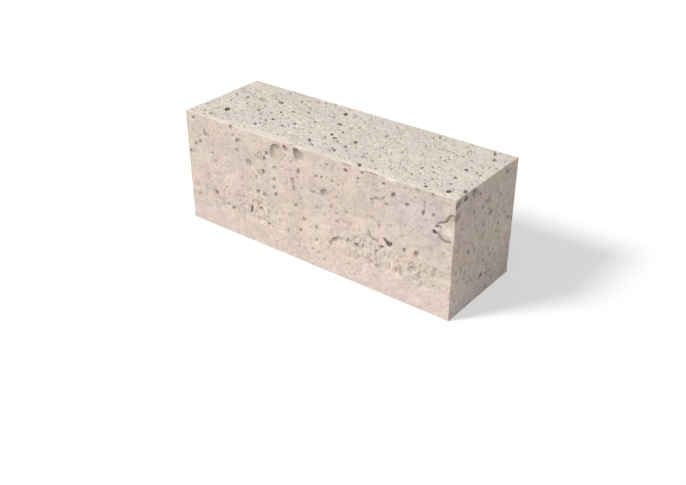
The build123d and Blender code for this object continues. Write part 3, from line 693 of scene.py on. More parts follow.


# Where a thin skin broke off: a wall on one side, and a floor that rises from there to the other. Its dark is
# a painted shadow along the deep wall, and floorDark paints the floor darker, as dirt and painted shade.
scars = {
    "wideCrater": {
        "face": "front",
        "outline": [
            (74.0, 11.6), (73.7, 8.2), (74.8, 4.9), (76.8, 3.2), (79.6, 2.6), (82.4, 3.2), (84.4, 5.0),
            (85.3, 7.8), (85.0, 10.6), (83.6, 13.0), (80.8, 14.4), (77.4, 14.2), (75.0, 13.2),
        ],
        "deep": 1.25, "deepAt": (74.6, 4.0), "risesTo": (84.2, 14.0), "leftThere": 0.08,
        "wall": 2.7, "dark": 0.6, "floorDark": 0.24,
    },
    "smallCrater": {
        "face": "front",
        "outline": [
            (92.9, 2.4), (94.0, 1.2), (96.6, 1.0), (99.2, 2.2), (101.6, 4.6), (100.4, 6.2), (98.0, 8.2),
            (95.8, 9.4), (94.4, 7.8), (93.2, 5.0),
        ],
        "deep": 1.05, "deepAt": (93.2, 1.0), "risesTo": (99.4, 10.0), "leftThere": 0.35,
        "wall": 2.0, "dark": 0.15, "floorDark": 1.05,
    },
    "endCrater": {
        "face": "rightEnd",
        "outline": [
            (17.8, 1.4), (20.0, 0.9), (22.8, 1.4), (24.6, 3.2), (24.8, 5.2), (23.2, 6.8), (20.6, 7.0),
            (18.4, 5.2),
        ],
        "deep": 1.7, "deepAt": (18.0, 1.0), "risesTo": (25.0, 7.6), "leftThere": 0.3,
        "wall": 2.4, "dark": 0.35, "floorDark": 0.42,
    },
    "flake": {
        "face": "front",
        "outline": [
            (213.0, 9.8), (209.6, 9.9), (207.2, 10.0), (205.6, 11.4), (204.8, 13.6), (203.6, 15.4),
            (201.0, 16.8), (199.0, 17.6), (198.6, 19.4), (200.6, 20.4), (201.2, 22.0), (200.0, 24.6),
            (200.8, 26.2), (202.7, 27.7), (204.9, 28.4), (208.0, 27.6), (213.0, 26.6),
        ],
        "deep": 1.15, "deepAt": (203.0, 14.0), "risesTo": (205.0, 25.0), "leftThere": 0.35,
        "wall": 0.8, "dark": 0.16, "floorDark": 0.0,
    },
    "arrisChip": {
        "face": "front",
        "outline": [
            (160.2, -1.2), (160.8, 0.9), (161.8, 1.9), (163.6, 1.9), (165.4, 1.3), (167.6, 0.9), (171.0, 0.5),
            (175.0, -1.2),
        ],
        "deep": 1.3, "deepAt": (161.5, 2.0), "risesTo": (172.0, -1.0), "leftThere": 0.3,
        "wall": 0.6, "dark": 0.0, "floorDark": 0.0,
    },
}
flake = {
    # The floor comes up to the arris, so that the arris stays nearly straight.
    "deepAtArris": 0.35,
    "slope": 0.3,
    "clear": (195, 8, 30),  # no chip goes right of the first, between the other two from the top
    # the grooves are dark lines along the flake's rims: painted shade and dirt
    "grooves": [
        ([(209.6, 11.0), (208.2, 10.3), (206.8, 10.6), (205.5, 12.0)], 1.7, 0.4, 1),
        ([(205.0, 13.6), (203.9, 15.4), (201.2, 16.8), (199.0, 17.8)], 1.7, 0.4, 0.68),
        ([(200.3, 25.4), (202.5, 27.4), (204.9, 28.1), (207.8, 27.3)], 2.0, 0.6, 1.1),
        ([(206.2, 14.8), (207.1, 13.5), (208.0, 14.0), (207.8, 15.4)], 1.0, 0.2, 0.41),
    ],
    "pits": [
        (198.6, 20.2, 2.0, 1.6, 0.9, 0, 0.95), (200.5, 20.0, 1.8, 1.3, 0.6, 0, 0.7),
        (196.9, 24.1, 2.4, 2.4, 1.5, 60, 1.4), (198.8, 24.2, 2.8, 1.3, 0.9, 0, 1.1),
    ],
    "tail": (2.4, 11.8, 6.8, 3.4, 0.8, 20, 0.4),
}


scarShape = {
    "wallBow": 0.6,  # below 1 the wall is steepest at its foot
    "wallFades": 1.5,  # how soon the wall's shade is gone, where the floor rises
    "floorFades": 0.6,
    "stray": 2.0,  # mm, what the outline's raggedness goes by
}


def scarDepth(scar, u, v):
    outline = scar["outline"]
    inside = insideLine(u, v, outline) * fromLine(u, v, outline + outline[:1])
    startU, startV = scar["deepAt"]
    wayU, wayV = scar["risesTo"][0] - startU, scar["risesTo"][1] - startV
    risen = smooth(((u - startU) * wayU + (v - startV) * wayV) / (wayU**2 + wayV**2))
    share = np.clip(inside / scar["wall"], 0, 1) ** scarShape["wallBow"]
    depth = scar["deep"] * share * (1 + (scar["leftThere"] - 1) * risen)
    # nearWall is the painted shadow along the deep wall, fading where the floor rises; floorDark is dirt and
    # painted shade on the floor
    nearWall = smooth(2 - inside / scar["wall"]) * (1 - risen) ** scarShape["wallFades"]
    floorDark = scar["floorDark"] * (1 - scarShape["floorFades"] * risen)
    return depth, (inside > 0) * (scar["dark"] * nearWall + floorDark)


def breakScar(block, scar, depthAt):
    across, down = zip(*scar["outline"])
    box = (min(across), max(across), min(down), max(down))
    block.carve(scar["face"], box, scarShape["stray"], depthAt)


def breakFlake(block):
    scar = scars["flake"]
    arris = block.faces["front"].width

    def depthAt(u, v):
        depth, dark = scarDepth(scar, u, v)
        return np.minimum(depth, flake["deepAtArris"] + flake["slope"] * (arris - u)), dark

    breakScar(block, scar, depthAt)
    drillHole(block, "rightEnd", flake["tail"])
    for row in flake["pits"]:
        drillHole(block, "front", row)
    for line, width, deep, dark in flake["grooves"]:
        cutGroove(block, "front", line, width, deep, dark)


crumbs = {
    # Soft dimples in the formed sides, stronger in the band where the form dragged the skin
    "deep": 0.58,
    "deepest": 1.3,  # no dimple is deeper than this times the depth
    "extra": 0.1,  # added to every dimple, so that more of the face is pressed in
    # painted shade in the deeper dimples
    "dark": 0.2,
    "darkFrom": 0.25,
    "size": 3.4,
    "fineSize": 1.9,
    "fineShare": 0.55,
    "bandTop": 40.0,  # mm below the top face
    "bandBottom": 62.0,
    "bandSoft": 8.0,
    "bandWander": 4.0,
    "wanderSize": 14.0,
    "plainDeep": 0.45,  # shares of that depth above and below the band
    "footDeep": 0.35,
    "footSoft": 6.0,
    "strength": (0.75, 0.5),  # its middle, and how far it strays to both sides
    "strengthSize": 19.0,
    "margin": 0.6,
}


def crumbleSides(block):
    def skinAt(points, u, v):
        wander = crumbs["bandWander"] * softNoise(points, crumbs["wanderSize"], 51)
        band = window(v + wander, crumbs["bandTop"], crumbs["bandBottom"], crumbs["bandSoft"])
        foot = smooth((v - crumbs["bandBottom"]) / crumbs["footSoft"])
        strength = crumbs["plainDeep"] * (1 - foot) + crumbs["footDeep"] * foot
        strength = strength + (1 - strength) * band
        middle, strays = crumbs["strength"]
        strength *= middle + strays * softNoise(points, crumbs["strengthSize"], 52)
        dimples = softNoise(points, crumbs["size"], 53)
        dimples = dimples + crumbs["fineShare"] * softNoise(points, crumbs["fineSize"], 54)
        depth = crumbs["deep"] * strength * np.clip(crumbs["extra"] + dimples, 0, crumbs["deepest"])
        # The deeper dimples are painted darker: painted shade
        return depth, crumbs["dark"] * strength * smooth(dimples - crumbs["darkFrom"])

    for name in ("front", "back", "rightEnd", "leftEnd"):
        block.pressSkin(name, crumbs["margin"], skinAt)


dragBand = {
    "top": 48.5,  # mm below the top face
    "bottom": 61.0,
    "soft": 3.5,
    "wander": 2.2,
    "wanderSize": 14.0,
    "deep": 0.85,
    # the deeper flecks are painted darker: dirt and painted shade
    "dirtAndPaintedShade": 0.14,
    "darkeningRise": 1.6,
    "fleckSize": (1.1, 1.1, 2.1),  # taller than wide
    "fleckExtra": 0.1,
    "fleckShare": 0.9,
    "lumpSize": (2.0, 2.0, 2.8),
    "lumpExtra": 0.2,
    "lumpMost": 1.2,
    "lumpShare": 0.4,
    "weakest": 0.2,  # outside the two stretches where it is strong
    "strong": (150.0, 192.0, 26.0),  # from, to, and how far it fades out
    "second": (46.0, 80.0, 12.0),
    "line": (90.0, 207.0, 8.0),  # the faint line below the band
    "lineDown": 61.5,
    "lineDeep": 0.3,
    "lineWide": 0.9,
    "lineBend": 0.5,
    "lineBendSize": 9.0,
    "lineThere": (0.4, 1.6),  # its strength, and how far that strays to both sides
    "lineBreaks": (11.0, 50.0, 50.0),
    "ripples": (63.0, 90.0, 3.0),
    "rippleSize": (9.0, 9.0, 2.4),
    "rippleDeep": 0.16,
    "margin": 0.8,
}


def dragSkin(block):
    # On the front the form dragged the drying skin: flecks, a faint line and ripples below it.
    def skinAt(points, u, v):
        weakest = dragBand["weakest"]
        strength = weakest + (1 - weakest) * window(u, *dragBand["strong"])
        strength = np.maximum(strength, (1 - weakest) * window(u, *dragBand["second"]))
        wander = dragBand["wander"] * softNoise(points, dragBand["wanderSize"], 41)
        band = window(v + wander, dragBand["top"], dragBand["bottom"], dragBand["soft"]) * strength
        flecks = dragBand["fleckExtra"] + softNoise(points, dragBand["fleckSize"], 42)
        flecks = np.clip(flecks, 0, 1)
        lumps = dragBand["lumpExtra"] + softNoise(points, dragBand["lumpSize"], 43)
        lumps = np.clip(lumps, 0, dragBand["lumpMost"])
        skin = dragBand["fleckShare"] * flecks + dragBand["lumpShare"] * lumps
        depth = dragBand["deep"] * band * skin
        bend = dragBand["lineBend"] * softNoise(points, dragBand["lineBendSize"], 44)
        gap = np.abs(v + bend - dragBand["lineDown"])
        middle, strays = dragBand["lineThere"]
        there = np.clip(middle + strays * softNoise(points, dragBand["lineBreaks"], 45), 0, 1)
        there = there * window(u, *dragBand["line"])
        depth += dragBand["lineDeep"] * there * np.clip(1 - (gap / dragBand["lineWide"])**2, 0, 1)
        ripple = 0.5 + 0.5 * softNoise(points, dragBand["rippleSize"], 46)
        depth += dragBand["rippleDeep"] * ripple * window(v, *dragBand["ripples"])
        # Darker in the deeper flecks: dirt and painted shade
        return depth, dragBand["dirtAndPaintedShade"] * band * smooth(dragBand["darkeningRise"] * flecks)

    block.pressSkin("front", dragBand["margin"], skinAt)


pinHoles = {
    # how many on each face, their smallest and largest size in mm, and how dark
    "top": (700, 1.0, 2.2, 0.46),
    "front": (80, 0.9, 1.9, 0.42),
    "back": (260, 0.9, 2.2, 0.7),
    "rightEnd": (130, 1.0, 2.4, 0.64),
    "leftEnd": (90, 0.9, 2.2, 0.7),
    "bed": (160, 0.9, 2.0, 0.6),
}
pinShape = {
    # shares of a pin hole's size, and its turn in degrees
    "wide": (0.7, 1.0),
    "turn": (0, 180),
    "washedWide": (0.5, 0.8),  # the wash drew them out
    "washedTurn": (-105, -10),
    "deep": (0.4, 0.7),
    "dark": (0.4, 1.15),
    "mostlySmall": 2.2,
    "inMargin": 0.3,  # the share that stays in the smooth strip
}

washedMargin = {
    # The smooth strip along the top's front arris, in mm
    "width": 3.4,
    "uneven": 1.6,
    "waves": (7.3, 3.1),  # the long ones and the short ones
    "shortShare": 0.6,
    "shortStart": 1.0,
    "wideAt": 70.0,
    "wideBy": 3.4,
    "wideLong": 24.0,
}


def marginWidth(across):
    # How far the smooth strip reaches over the top from its front arris.
    long, short = washedMargin["waves"]
    shortWaves = np.sin(across / short + washedMargin["shortStart"]) * washedMargin["shortShare"]
    waves = np.sin(across / long) + shortWaves
    wide = np.exp(-((across - washedMargin["wideAt"]) / washedMargin["wideLong"])**2)
    return washedMargin["width"] + 0.5 * washedMargin["uneven"] * waves + washedMargin["wideBy"] * wide


def scatterPinHoles(block):
    random = np.random.default_rng(7)

    def anyOf(name, washed):
        return random.uniform(*pinShape["washed" + name.capitalize() if washed else name])

    for name, (count, smallest, largest, dark) in pinHoles.items():
        face = block.faces[name]
        washed = name == "top"
        for number in range(count):
            size = smallest + (largest - smallest) * random.random()**pinShape["mostlySmall"]
            across = random.uniform(size, face.width - size)
            down = random.uniform(size, face.height - size)
            wide = size * anyOf("wide", washed)
            deep = size * anyOf("deep", False)
            turn = anyOf("turn", washed)
            shade = min(dark * anyOf("dark", False), 1.0)
            if washed and face.height - down < marginWidth(across) and random.random() > pinShape["inMargin"]:
                continue
            if washed and any(math.hypot(across - row[0], down - row[1]) < row[2] for row in topHoles):
                continue
            drillHole(block, name, (across, down, size, wide, deep, turn, shade))


hiddenHoles = {
    # The same steps as in the part's source: how many, their size, and where the steps start
    "back": (30, 1.0, 0.31),
    "leftEnd": (11, 1.0, 0.62),
    "bed": (24, 0.8, 0.17),
}
hiddenSteps = {
    "across": 0.7549,
    "down": 0.5698,
    "turn": 37,
    "lengths": (3.2, 2.4, 4.6, 2.8, 3.6, 2.6, 5.4),
    "wide": 0.8,  # shares of the length
    "deep": 0.288,
    "dark": 0.618,
    "leastDark": 0.6,
}


def drillHiddenFaces(block):
    steps, lengths = hiddenSteps, hiddenSteps["lengths"]
    for name, (count, size, start) in hiddenHoles.items():
        face = block.faces[name]
        for number in range(1, count + 1):
            long = size * lengths[number % len(lengths)]
            across = (start + number * steps["across"]) % 1 * face.width
            down = (1 - (start + number * steps["down"]) % 1) * face.height
            turn = steps["turn"] * number % 180
            dark = steps["leastDark"] + (1 - steps["leastDark"]) * (number * steps["dark"] % 1)
            row = (across, down, long, steps["wide"] * long, steps["deep"] * long, turn, dark)
            drillHole(block, name, row)


chips = {
    # Along the arrises: how many on each face, and the ones on the front's top arris that show
    "counts": (("top", 30), ("front", 16), ("back", 16), ("rightEnd", 8), ("leftEnd", 8), ("bed", 10)),
    "small": 0.8,
    "large": 2.3,
    "inset": 0.1,
    "long": 1.6,  # shares of a chip's size
    "deep": 0.25,
    "dark": 0.2,
    "front": [
        (126.0, 0.3, 5.0, 1.6, 0.3, 0, 0.0), (103.0, 0.2, 4.0, 1.4, 0.3, 0, 0.0),
        (66.0, 0.2, 5.0, 1.3, 0.3, 0, 0.0), (24.0, 0.3, 6.0, 1.5, 0.3, 0, 0.05),
        (12.0, 0.2, 3.0, 1.2, 0.25, 0, 0.0), (184.6, 0.6, 3.6, 1.8, 0.4, 0, 0.1),
    ],
}


def chipArrises(block):
    random = np.random.default_rng(19)
    inset = chips["inset"]
    clearLeft, clearTop, clearFoot = flake["clear"]
    for name, count in chips["counts"]:
        face = block.faces[name]
        for number in range(count):
            size = chips["small"] + (chips["large"] - chips["small"]) * random.random()**2
            along, side = random.random(), random.integers(4)
            across = (along * face.width, along * face.width, inset, face.width - inset)[side]
            down = (inset, face.height - inset, along * face.height, along * face.height)[side]
            if name == "front" and across > clearLeft and clearTop < down < clearFoot:
                continue
            long, deep = size * chips["long"], size * chips["deep"]
            drillHole(block, name, (across, down, long, size, deep, 90 * (side > 1), chips["dark"]))
    for row in chips["front"]:
        drillHole(block, "front", row)


def roundArrises(points, low, high):
    # Each point goes out from an inner box by the radius there. The way out is the surface's normal.
    uneven = paver["arrisUneven"] * softNoise(points, paver["arrisUnevenSize"], 3)
    radius = (paver["arrisRadius"] * (1 + uneven))[:, None]
    inner = np.clip(points, low + radius, high - radius)
    away = points - inner
    away /= np.linalg.norm(away, axis=1, keepdims=True)
    return inner + away * radius, away


def carveBlock():
    low, high = (np.array(corner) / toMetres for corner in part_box("paver_block"))
    faces = facesOf(low, high)
    cell = paver["cell"] * 1.0
    flatPoints, squares = latticeOn(faces, low, high, cell)
    points, away = roundArrises(flatPoints, low, high)
    block = Block(points, faces)
    waves = 0.5 + 0.5 * softNoise(points, paver["unevenSize"], 1)
    rough = 0.5 + 0.5 * softNoise(points, paver["roughSize"], 2)
    depth = paver["unevenDeep"] * waves + paver["roughDeep"] * rough
    block.points = points - depth[:, None] * away
    print("stage: surface laid out,", len(points), "points")
    crumbleSides(block)
    dragSkin(block)
    for name in ("wideCrater", "smallCrater", "endCrater", "arrisChip"):
        breakScar(block, scars[name], lambda u, v: scarDepth(scars[name], u, v))
    seen = {
        "front": frontHoles + frontFaint,
        "top": topHoles + topFaint,
        "rightEnd": rightEndHoles + rightEndFaint,
    }
    for name, rows in seen.items():
        for row in rows:
            drillHole(block, name, row)
    for line, width, deep, dark in frontGrooves:
        cutGroove(block, "front", line, width, deep, dark)
    drillHiddenFaces(block)
    breakFlake(block)
    scatterPinHoles(block)
    chipArrises(block)
    block.points = np.clip(block.points, low, high)
    return block, squares


def meshFrom(block, squares):
    mesh = bpy.data.meshes.new("paver")
    mesh.vertices.add(len(block.points))
    mesh.vertices.foreach_set("co", (block.points * toMetres).astype(np.float32).ravel())
    mesh.loops.add(squares.size)
    mesh.loops.foreach_set("vertex_index", squares.astype(np.int32).ravel())
    mesh.polygons.add(len(squares))
    mesh.polygons.foreach_set("loop_start", np.arange(0, squares.size, 4, dtype=np.int32))
    mesh.update(calc_edges=True)
    # Each point's darkness goes with the mesh: dirt and painted shade in its hole
    mesh.attributes.new("dirtAndShadeInHollows", "FLOAT", "POINT").data.foreach_set("value", block.dark)
    return mesh


def thinOut(piece, triangles):
    # Few triangles stay on the plain parts and most of them in the holes.
    thin = piece.modifiers.new("thin", "DECIMATE")
    thin.ratio = min(1.0, triangles / (2 * len(piece.data.polygons)))
    evaluated = piece.evaluated_get(bpy.context.evaluated_depsgraph_get())
    thinned = bpy.data.meshes.new_from_object(evaluated)
    full = piece.data
    piece.modifiers.clear()
    piece.data = thinned
    bpy.data.meshes.remove(full)
    thinned.name = "paver"
    return thinned


def makePaver():
    block, squares = carveBlock()
    print("stage: holes carved")
    piece = addToScene("paver", meshFrom(block, squares))
    mesh = thinOut(piece, paver["triangles"])
    mesh.shade_smooth()
    mesh.set_sharp_from_angle(angle=math.radians(paver["sharpAngle"]))
    print("stage: paver mesh has", len(mesh.polygons), "triangles")
    return piece


# The concrete

concrete = {
    "cast": (0.700, 0.584, 0.508),  # the formed sides, between the patches
    "pink": (0.715, 0.588, 0.530),
    "cream": (0.728, 0.626, 0.527),
    "grey": (0.615, 0.570, 0.545),
    "lilac": (0.676, 0.588, 0.556),
    "shadeLilac": (0.636, 0.558, 0.528),
    "pinkFoot": (0.712, 0.597, 0.566),
    # a lilac tint, and painted light lifting the foot of the shaded right end
    "blueFoot": (0.735, 0.645, 0.612),
    "olive": (0.680, 0.600, 0.475),
    "foot": (0.700, 0.592, 0.537),  # the lowest part, which stood in the wet
    "stain": (0.380, 0.310, 0.265),  # damp streaks on the ends
    "brown": (0.330, 0.240, 0.190),
    "fresh": (0.790, 0.690, 0.590),  # where the skin broke off
    "washed": (0.743, 0.673, 0.604),  # the top
    "washedGrey": (0.690, 0.645, 0.585),
    "washedPink": (0.785, 0.685, 0.612),
    "washedCool": (0.725, 0.680, 0.622),
    "washedCream": (0.780, 0.702, 0.566),
    "washedLilac": (0.760, 0.678, 0.655),
    "margin": (0.815, 0.738, 0.652),  # the smooth strip along the top's front arris
    # painted highlights on the lip of the top's front arris
    "paintedLipHighlight": (0.880, 0.800, 0.715),
    "paintedCoolLipHighlight": (0.880, 0.795, 0.770),
    "specks": (0.300, 0.265, 0.235),
    "sand": (0.900, 0.840, 0.765),
    # near black, that the holes' dirt and painted shade mix towards
    "holeDirtAndShade": (0.075, 0.048, 0.030),
    "roughness": 0.9,
    "topSoft": 0.0003,  # metres over which the top's concrete gives way to that of the sides
    "endsReach": 0.002,
    # Patches: their size in metres, how soft they are, their share and tone
    "sidePatches": [
        (0.034, 0.12, 1.0, "pink"), (0.023, 0.1, 0.8, "cream"), (0.012, 0.15, 0.28, "grey"),
    ],
    "washedPatches": [
        (0.009, 0.2, 1.0, "washedGrey"), (0.014, 0.12, 0.6, "washedPink"), (0.011, 0.1, 0.6, "washedCool"),
        (0.0085, 0.14, 0.42, "washedCream"), (0.0125, 0.12, 0.45, "washedLilac"),
    ],
    # Lighter and darker clouds: their size in metres, the darkest and the lightest
    "mottleSoft": 0.25,
    "sideMottle": [
        (0.040, 0.975, 1.025), (0.016, 0.960, 1.035), (0.0055, 0.93, 1.045), (0.0022, 0.935, 1.045),
    ],
    "washedMottle": [(0.020, 0.95, 1.035), (0.0045, 0.925, 1.045), (0.0020, 0.935, 1.045)],
    # Specks: how far apart in metres, their size and the share of places that have one
    "darkOnTop": [(0.0016, 0.33, 0.5), (0.0027, 0.24, 0.45)],
    "darkOnSides": [(0.0031, 0.26, 0.35), (0.0012, 0.32, 0.45)],
    "lightOnTop": (0.0021, 0.34, 0.4),
    "dragged": (0.0022, 0.34, 0.4),
    "darkShare": 0.44,
    "sideShare": 0.6,
    "lightShare": 0.6,
    "washedTurn": -52.0,  # the wash drew the specks out this way, and so much
    "washedDrawn": 1.6,
    "draggedTall": 2.2,
    "draggedAt": ("front", 180, 56.5, 26, 8),
    "draggedShare": 0.7,
    "streaks": (0.0028, 0.2, 0.24),  # size, softness and share
    "streaksTall": 2.6,
    "footFrom": (0.060, 0.074),  # metres below the top where the foot sets in
    "footRagged": (0.015, 0.3, 0.008),
    "footShare": 0.8,
    "fartherFrom": (0.030, 0.070),  # the top is darker towards the back, by so much
    "fartherShade": 0.955,
    "stripReach": 0.0022,  # the smooth strip: metres from the front arris, and more near the crater
    "stripNearCrater": (0.008, 0.032, 0.0025, 0.0),
    "stripRagged": (0.007, 0.2, 0.004),
    "stripSoft": 0.0034,
    "stripWorn": (0.006, 0.25),
    "stripLeast": 0.6,
    "stripSpecks": 0.25,  # the share of the top's specks that it keeps
    "washRagged": 0.008,  # soft stains: the size of their raggedness in metres
    "washEdge": (0.75, 1.6),
    "washThick": 4.0,  # mm that a stain reaches off its face
    "grainSize": 0.0007,
    "grainRange": (0.3, 0.7),
    "grainShade": (0.88, 1.09),
    "grainHigh": 0.00008,  # metres, and the same for the rest of the bump
    "crumblyHigh": [(0.0028, 0.3, 0.00016), (0.0013, 0.3, 0.00008)],
    "darkDeep": 0.00030,
    "lightHigh": 0.00015,
}

washes = [
    # Soft stains, and some painted highlights and shade: the face, across, down, how far they reach both ways
    # in mm, the tone and its share
    ("front", 60, 68, 34, 12, "cream", 0.8), ("front", 118, 66, 30, 10, "cream", 0.6),
    ("front", 41, 24, 10, 7, "lilac", 0.8), ("front", 70, 34, 12, 8, "lilac", 0.7),
    ("front", 109, 28, 11, 9, "lilac", 0.7), ("front", 186, 16, 34, 26, "shadeLilac", 0.85),
    ("front", 201, 38, 18, 24, "shadeLilac", 0.6), ("front", 178, 75, 46, 13, "pinkFoot", 0.85),
    # These two grey stains just under the top arris are a painted shadow line under its lip
    ("front", 142, 0.2, 5, 1.4, "grey", 0.8), ("front", 6, 0.2, 12, 1.2, "grey", 0.6),
    ("front", 197, 53, 11, 10, "olive", 0.7), ("front", 14, 72, 14, 6, "pink", 0.8),
    # The second olive stain, under the flake's upper rim, is a painted shadow; the first is the crater
    # floor's own tone
    ("front", 80, 9.5, 8, 8, "olive", 0.9), ("front", 206, 14.5, 5, 5, "olive", 1.0),
    # The lip stains on the top, at 17, 34, 63, 134.6 and 153, are painted highlights along the front arris
    ("front", 165, 0.6, 8, 2.4, "washedGrey", 1.0), ("top", 17, 69.4, 9, 1.6, "paintedLipHighlight", 0.9),
    ("top", 34, 69.4, 10, 1.6, "paintedLipHighlight", 0.9), ("top", 134.6, 68.2, 4.5, 3.4, "paintedCoolLipHighlight", 1.0),
    ("top", 153, 68.8, 9, 2.8, "paintedCoolLipHighlight", 1.0), ("top", 63, 69.6, 6, 1.2, "paintedLipHighlight", 0.7),
    ("top", 142.5, 69.8, 4.5, 2.4, "washedGrey", 1.0), ("top", 125, 69.9, 6, 1.6, "washedGrey", 0.8),
    ("top", 93, 69.9, 7, 1.4, "washedPink", 0.8), ("top", 172, 68.2, 8, 3.4, "washedPink", 0.7),
    # The washedGrey stain at 114.5, 60 is painted shade over a shallow dish on the top
    ("top", 114.5, 60.0, 4.6, 5.0, "washedGrey", 1.0), ("top", 8, 66, 16, 8, "washedPink", 0.6),
    ("front", 206, 21.5, 4.5, 4.5, "fresh", 1.0), ("front", 60, 8, 12, 5, "cream", 0.7),
    # The blueFoot stain is a lilac tint and painted light on the right end's foot
    ("rightEnd", 12, 30, 12, 18, "pink", 0.5), ("rightEnd", 26, 78, 48, 17, "blueFoot", 0.85),
    # These two brown stains darken the end crater and the flake's tail hole: painted shade with a brown tone
    ("rightEnd", 20.2, 3.2, 4.4, 3.6, "brown", 0.85), ("rightEnd", 2.5, 11.8, 4.5, 2.6, "brown", 0.5),
    ("rightEnd", 65, 70, 9, 15, "brown", 0.13),
    ("back", 60, 30, 22, 14, "lilac", 0.7), ("back", 150, 55, 18, 12, "olive", 0.5),
]


def patchesGroup():
    # Soft patches of a given size, as a mask.
    group, given = startGroup("patches", Vector=None, Size=0.01, Sharp=0.2)
    scale = sums(group, "DIVIDE", 1.0, given["Size"])
    clouds = place(group, "TexNoise", {"Vector": given["Vector"], "Scale": scale, "Detail": 3.0})
    low = sums(group, "SUBTRACT", 0.5, given["Sharp"])
    high = sums(group, "ADD", 0.5, given["Sharp"])
    return endGroup(group, Mask=spread(group, clouds.outputs[0], low, high))


def specksGroup():
    # Scattered specks: one in a share of the cells, each with its own size.
    group, given = startGroup(
        "specks", Vector=None, Spacing=0.002, Size=0.3, Share=0.5, Smallest=0.4, Core=0.25)
    scale = sums(group, "DIVIDE", 1.0, given["Spacing"])
    cells = place(group, "TexVoronoi", {"Vector": given["Vector"], "Scale": scale}).outputs
    chance = place(group, "SeparateColor", {0: cells["Color"]}).outputs
    reach = sums(group, "ADD", chance[0], given["Smallest"])
    reach = sums(group, "MULTIPLY", given["Size"], reach)
    core = sums(group, "MULTIPLY", reach, given["Core"])
    mask = spread(group, cells["Distance"], core, reach, 1.0, 0.0)
    shown = sums(group, "LESS_THAN", chance[1], given["Share"])
    return endGroup(group, Mask=sums(group, "MULTIPLY", mask, shown))


def washGroup():
    # One soft stain with an uneven outline.
    group, given = startGroup("wash", Vector=None, Middle=None, Reach=None)
    away = place(group, "VectorMath", {0: given["Vector"], 1: given["Middle"]}, operation="SUBTRACT")
    share = place(group, "VectorMath", {0: away.outputs[0], 1: given["Reach"]}, operation="DIVIDE")
    length = place(group, "VectorMath", {0: share.outputs[0]}, operation="LENGTH")
    scale = 1 / concrete["washRagged"]
    clouds = place(group, "TexNoise", {"Vector": given["Vector"], "Scale": scale, "Detail": 3.0})
    distance = sums(group, "ADD", length.outputs["Value"], clouds.outputs[0])
    return endGroup(group, Mask=spread(group, distance, *concrete["washEdge"], 1.0, 0.0))


def facesGroup(low, high):
    # Which spots belong to the top and the ends, and how far each is from the front, from the
    # top and along the block.
    group, given = startGroup("faces", Vector=None)
    x, y, z = place(group, "SeparateXYZ", {0: given["Vector"]}).outputs
    fromTop = sums(group, "SUBTRACT", high.z, z)
    fromFront = sums(group, "SUBTRACT", y, low.y)
    fromSides = sums(group, "SUBTRACT", (high.x - low.x) / 2, sums(group, "ABSOLUTE", x))
    fromBack = sums(group, "SUBTRACT", high.y, y)
    others = sums(group, "MINIMUM", sums(group, "MINIMUM", fromFront, fromBack), fromSides)
    topSoft = concrete["topSoft"]
    return endGroup(
        group,
        Top=spread(group, sums(group, "SUBTRACT", others, fromTop), -topSoft, topSoft),
        Ends=spread(group, fromSides, 0.0, concrete["endsReach"], 1.0, 0.0),
        FromFront=fromFront,
        FromTop=fromTop,
        Along=sums(group, "SUBTRACT", x, low.x),
    )


class Mixer:
    # The concrete's nodes, and short ways to mix its colours with the groups.
    def __init__(self, tree):
        low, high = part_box("paver_block")
        self.tree = tree
        self.spot = place(tree, "TexCoord").outputs["Object"]
        self.where = useGroup(tree, facesGroup(low, high), Vector=self.spot)
        self.faces = facesOf(np.array(low) / toMetres, np.array(high) / toMetres)
        self.patches, self.specks, self.wash = patchesGroup(), specksGroup(), washGroup()

    def times(self, one, other):
        return sums(self.tree, "MULTIPLY", one, other)

    def tint(self, colour, share, tone):
        return blend(self.tree, share, colour, (*concrete[tone], 1))

    def shade(self, colour, value):
        return blend(self.tree, 1.0, colour, value, "MULTIPLY")

    def stretched(self, scale, turn=0.0):
        # The spots as drawn out by a scale, after a turn about the upright.
        sources = {"Vector": self.spot, "Scale": scale, "Rotation": (0.0, 0.0, turn)}
        return place(self.tree, "Mapping", sources, vector_type="TEXTURE").outputs[0]

    def patch(self, size, sharp, share=1.0, spot=None):
        spot = self.spot if spot is None else spot
        mask = useGroup(self.tree, self.patches, Vector=spot, Size=size, Sharp=sharp)[0]
        return self.times(mask, share)

    def speck(self, spacing, size, share, spot=None):
        spot = self.spot if spot is None else spot
        return useGroup(self.tree, self.specks, Vector=spot, Spacing=spacing, Size=size, Share=share)[0]

    def eitherSpeck(self, rows, spot=None):
        return sums(self.tree, "MAXIMUM", *(self.speck(*row, spot) for row in rows))

    def stain(self, face, across, down, reachAcross, reachDown):
        at = self.faces[face]
        middle = (at.corner + across * at.across + down * at.down) * toMetres
        reach = reachAcross * abs(at.across) + reachDown * abs(at.down)
        reach = (reach + concrete["washThick"] * abs(at.out)) * toMetres
        sources = {"Vector": self.spot, "Middle": tuple(middle), "Reach": tuple(reach)}
        return useGroup(self.tree, self.wash, **sources)[0]

    def patched(self, colour, rows):
        for size, sharp, share, tone in rows:
            colour = self.tint(colour, self.patch(size, sharp, share), tone)
        return colour

    def mottled(self, colour, rows):
        for size, darkest, lightest in rows:
            clouds = self.patch(size, concrete["mottleSoft"])
            colour = self.shade(colour, spread(self.tree, clouds, 0.0, 1.0, darkest, lightest))
        return colour

    def stained(self, colour, faceNames):
        for face, across, down, reachAcross, reachDown, tone, share in washes:
            if face in faceNames:
                mask = self.stain(face, across, down, reachAcross, reachDown)
                colour = self.tint(colour, self.times(mask, share), tone)
        return colour


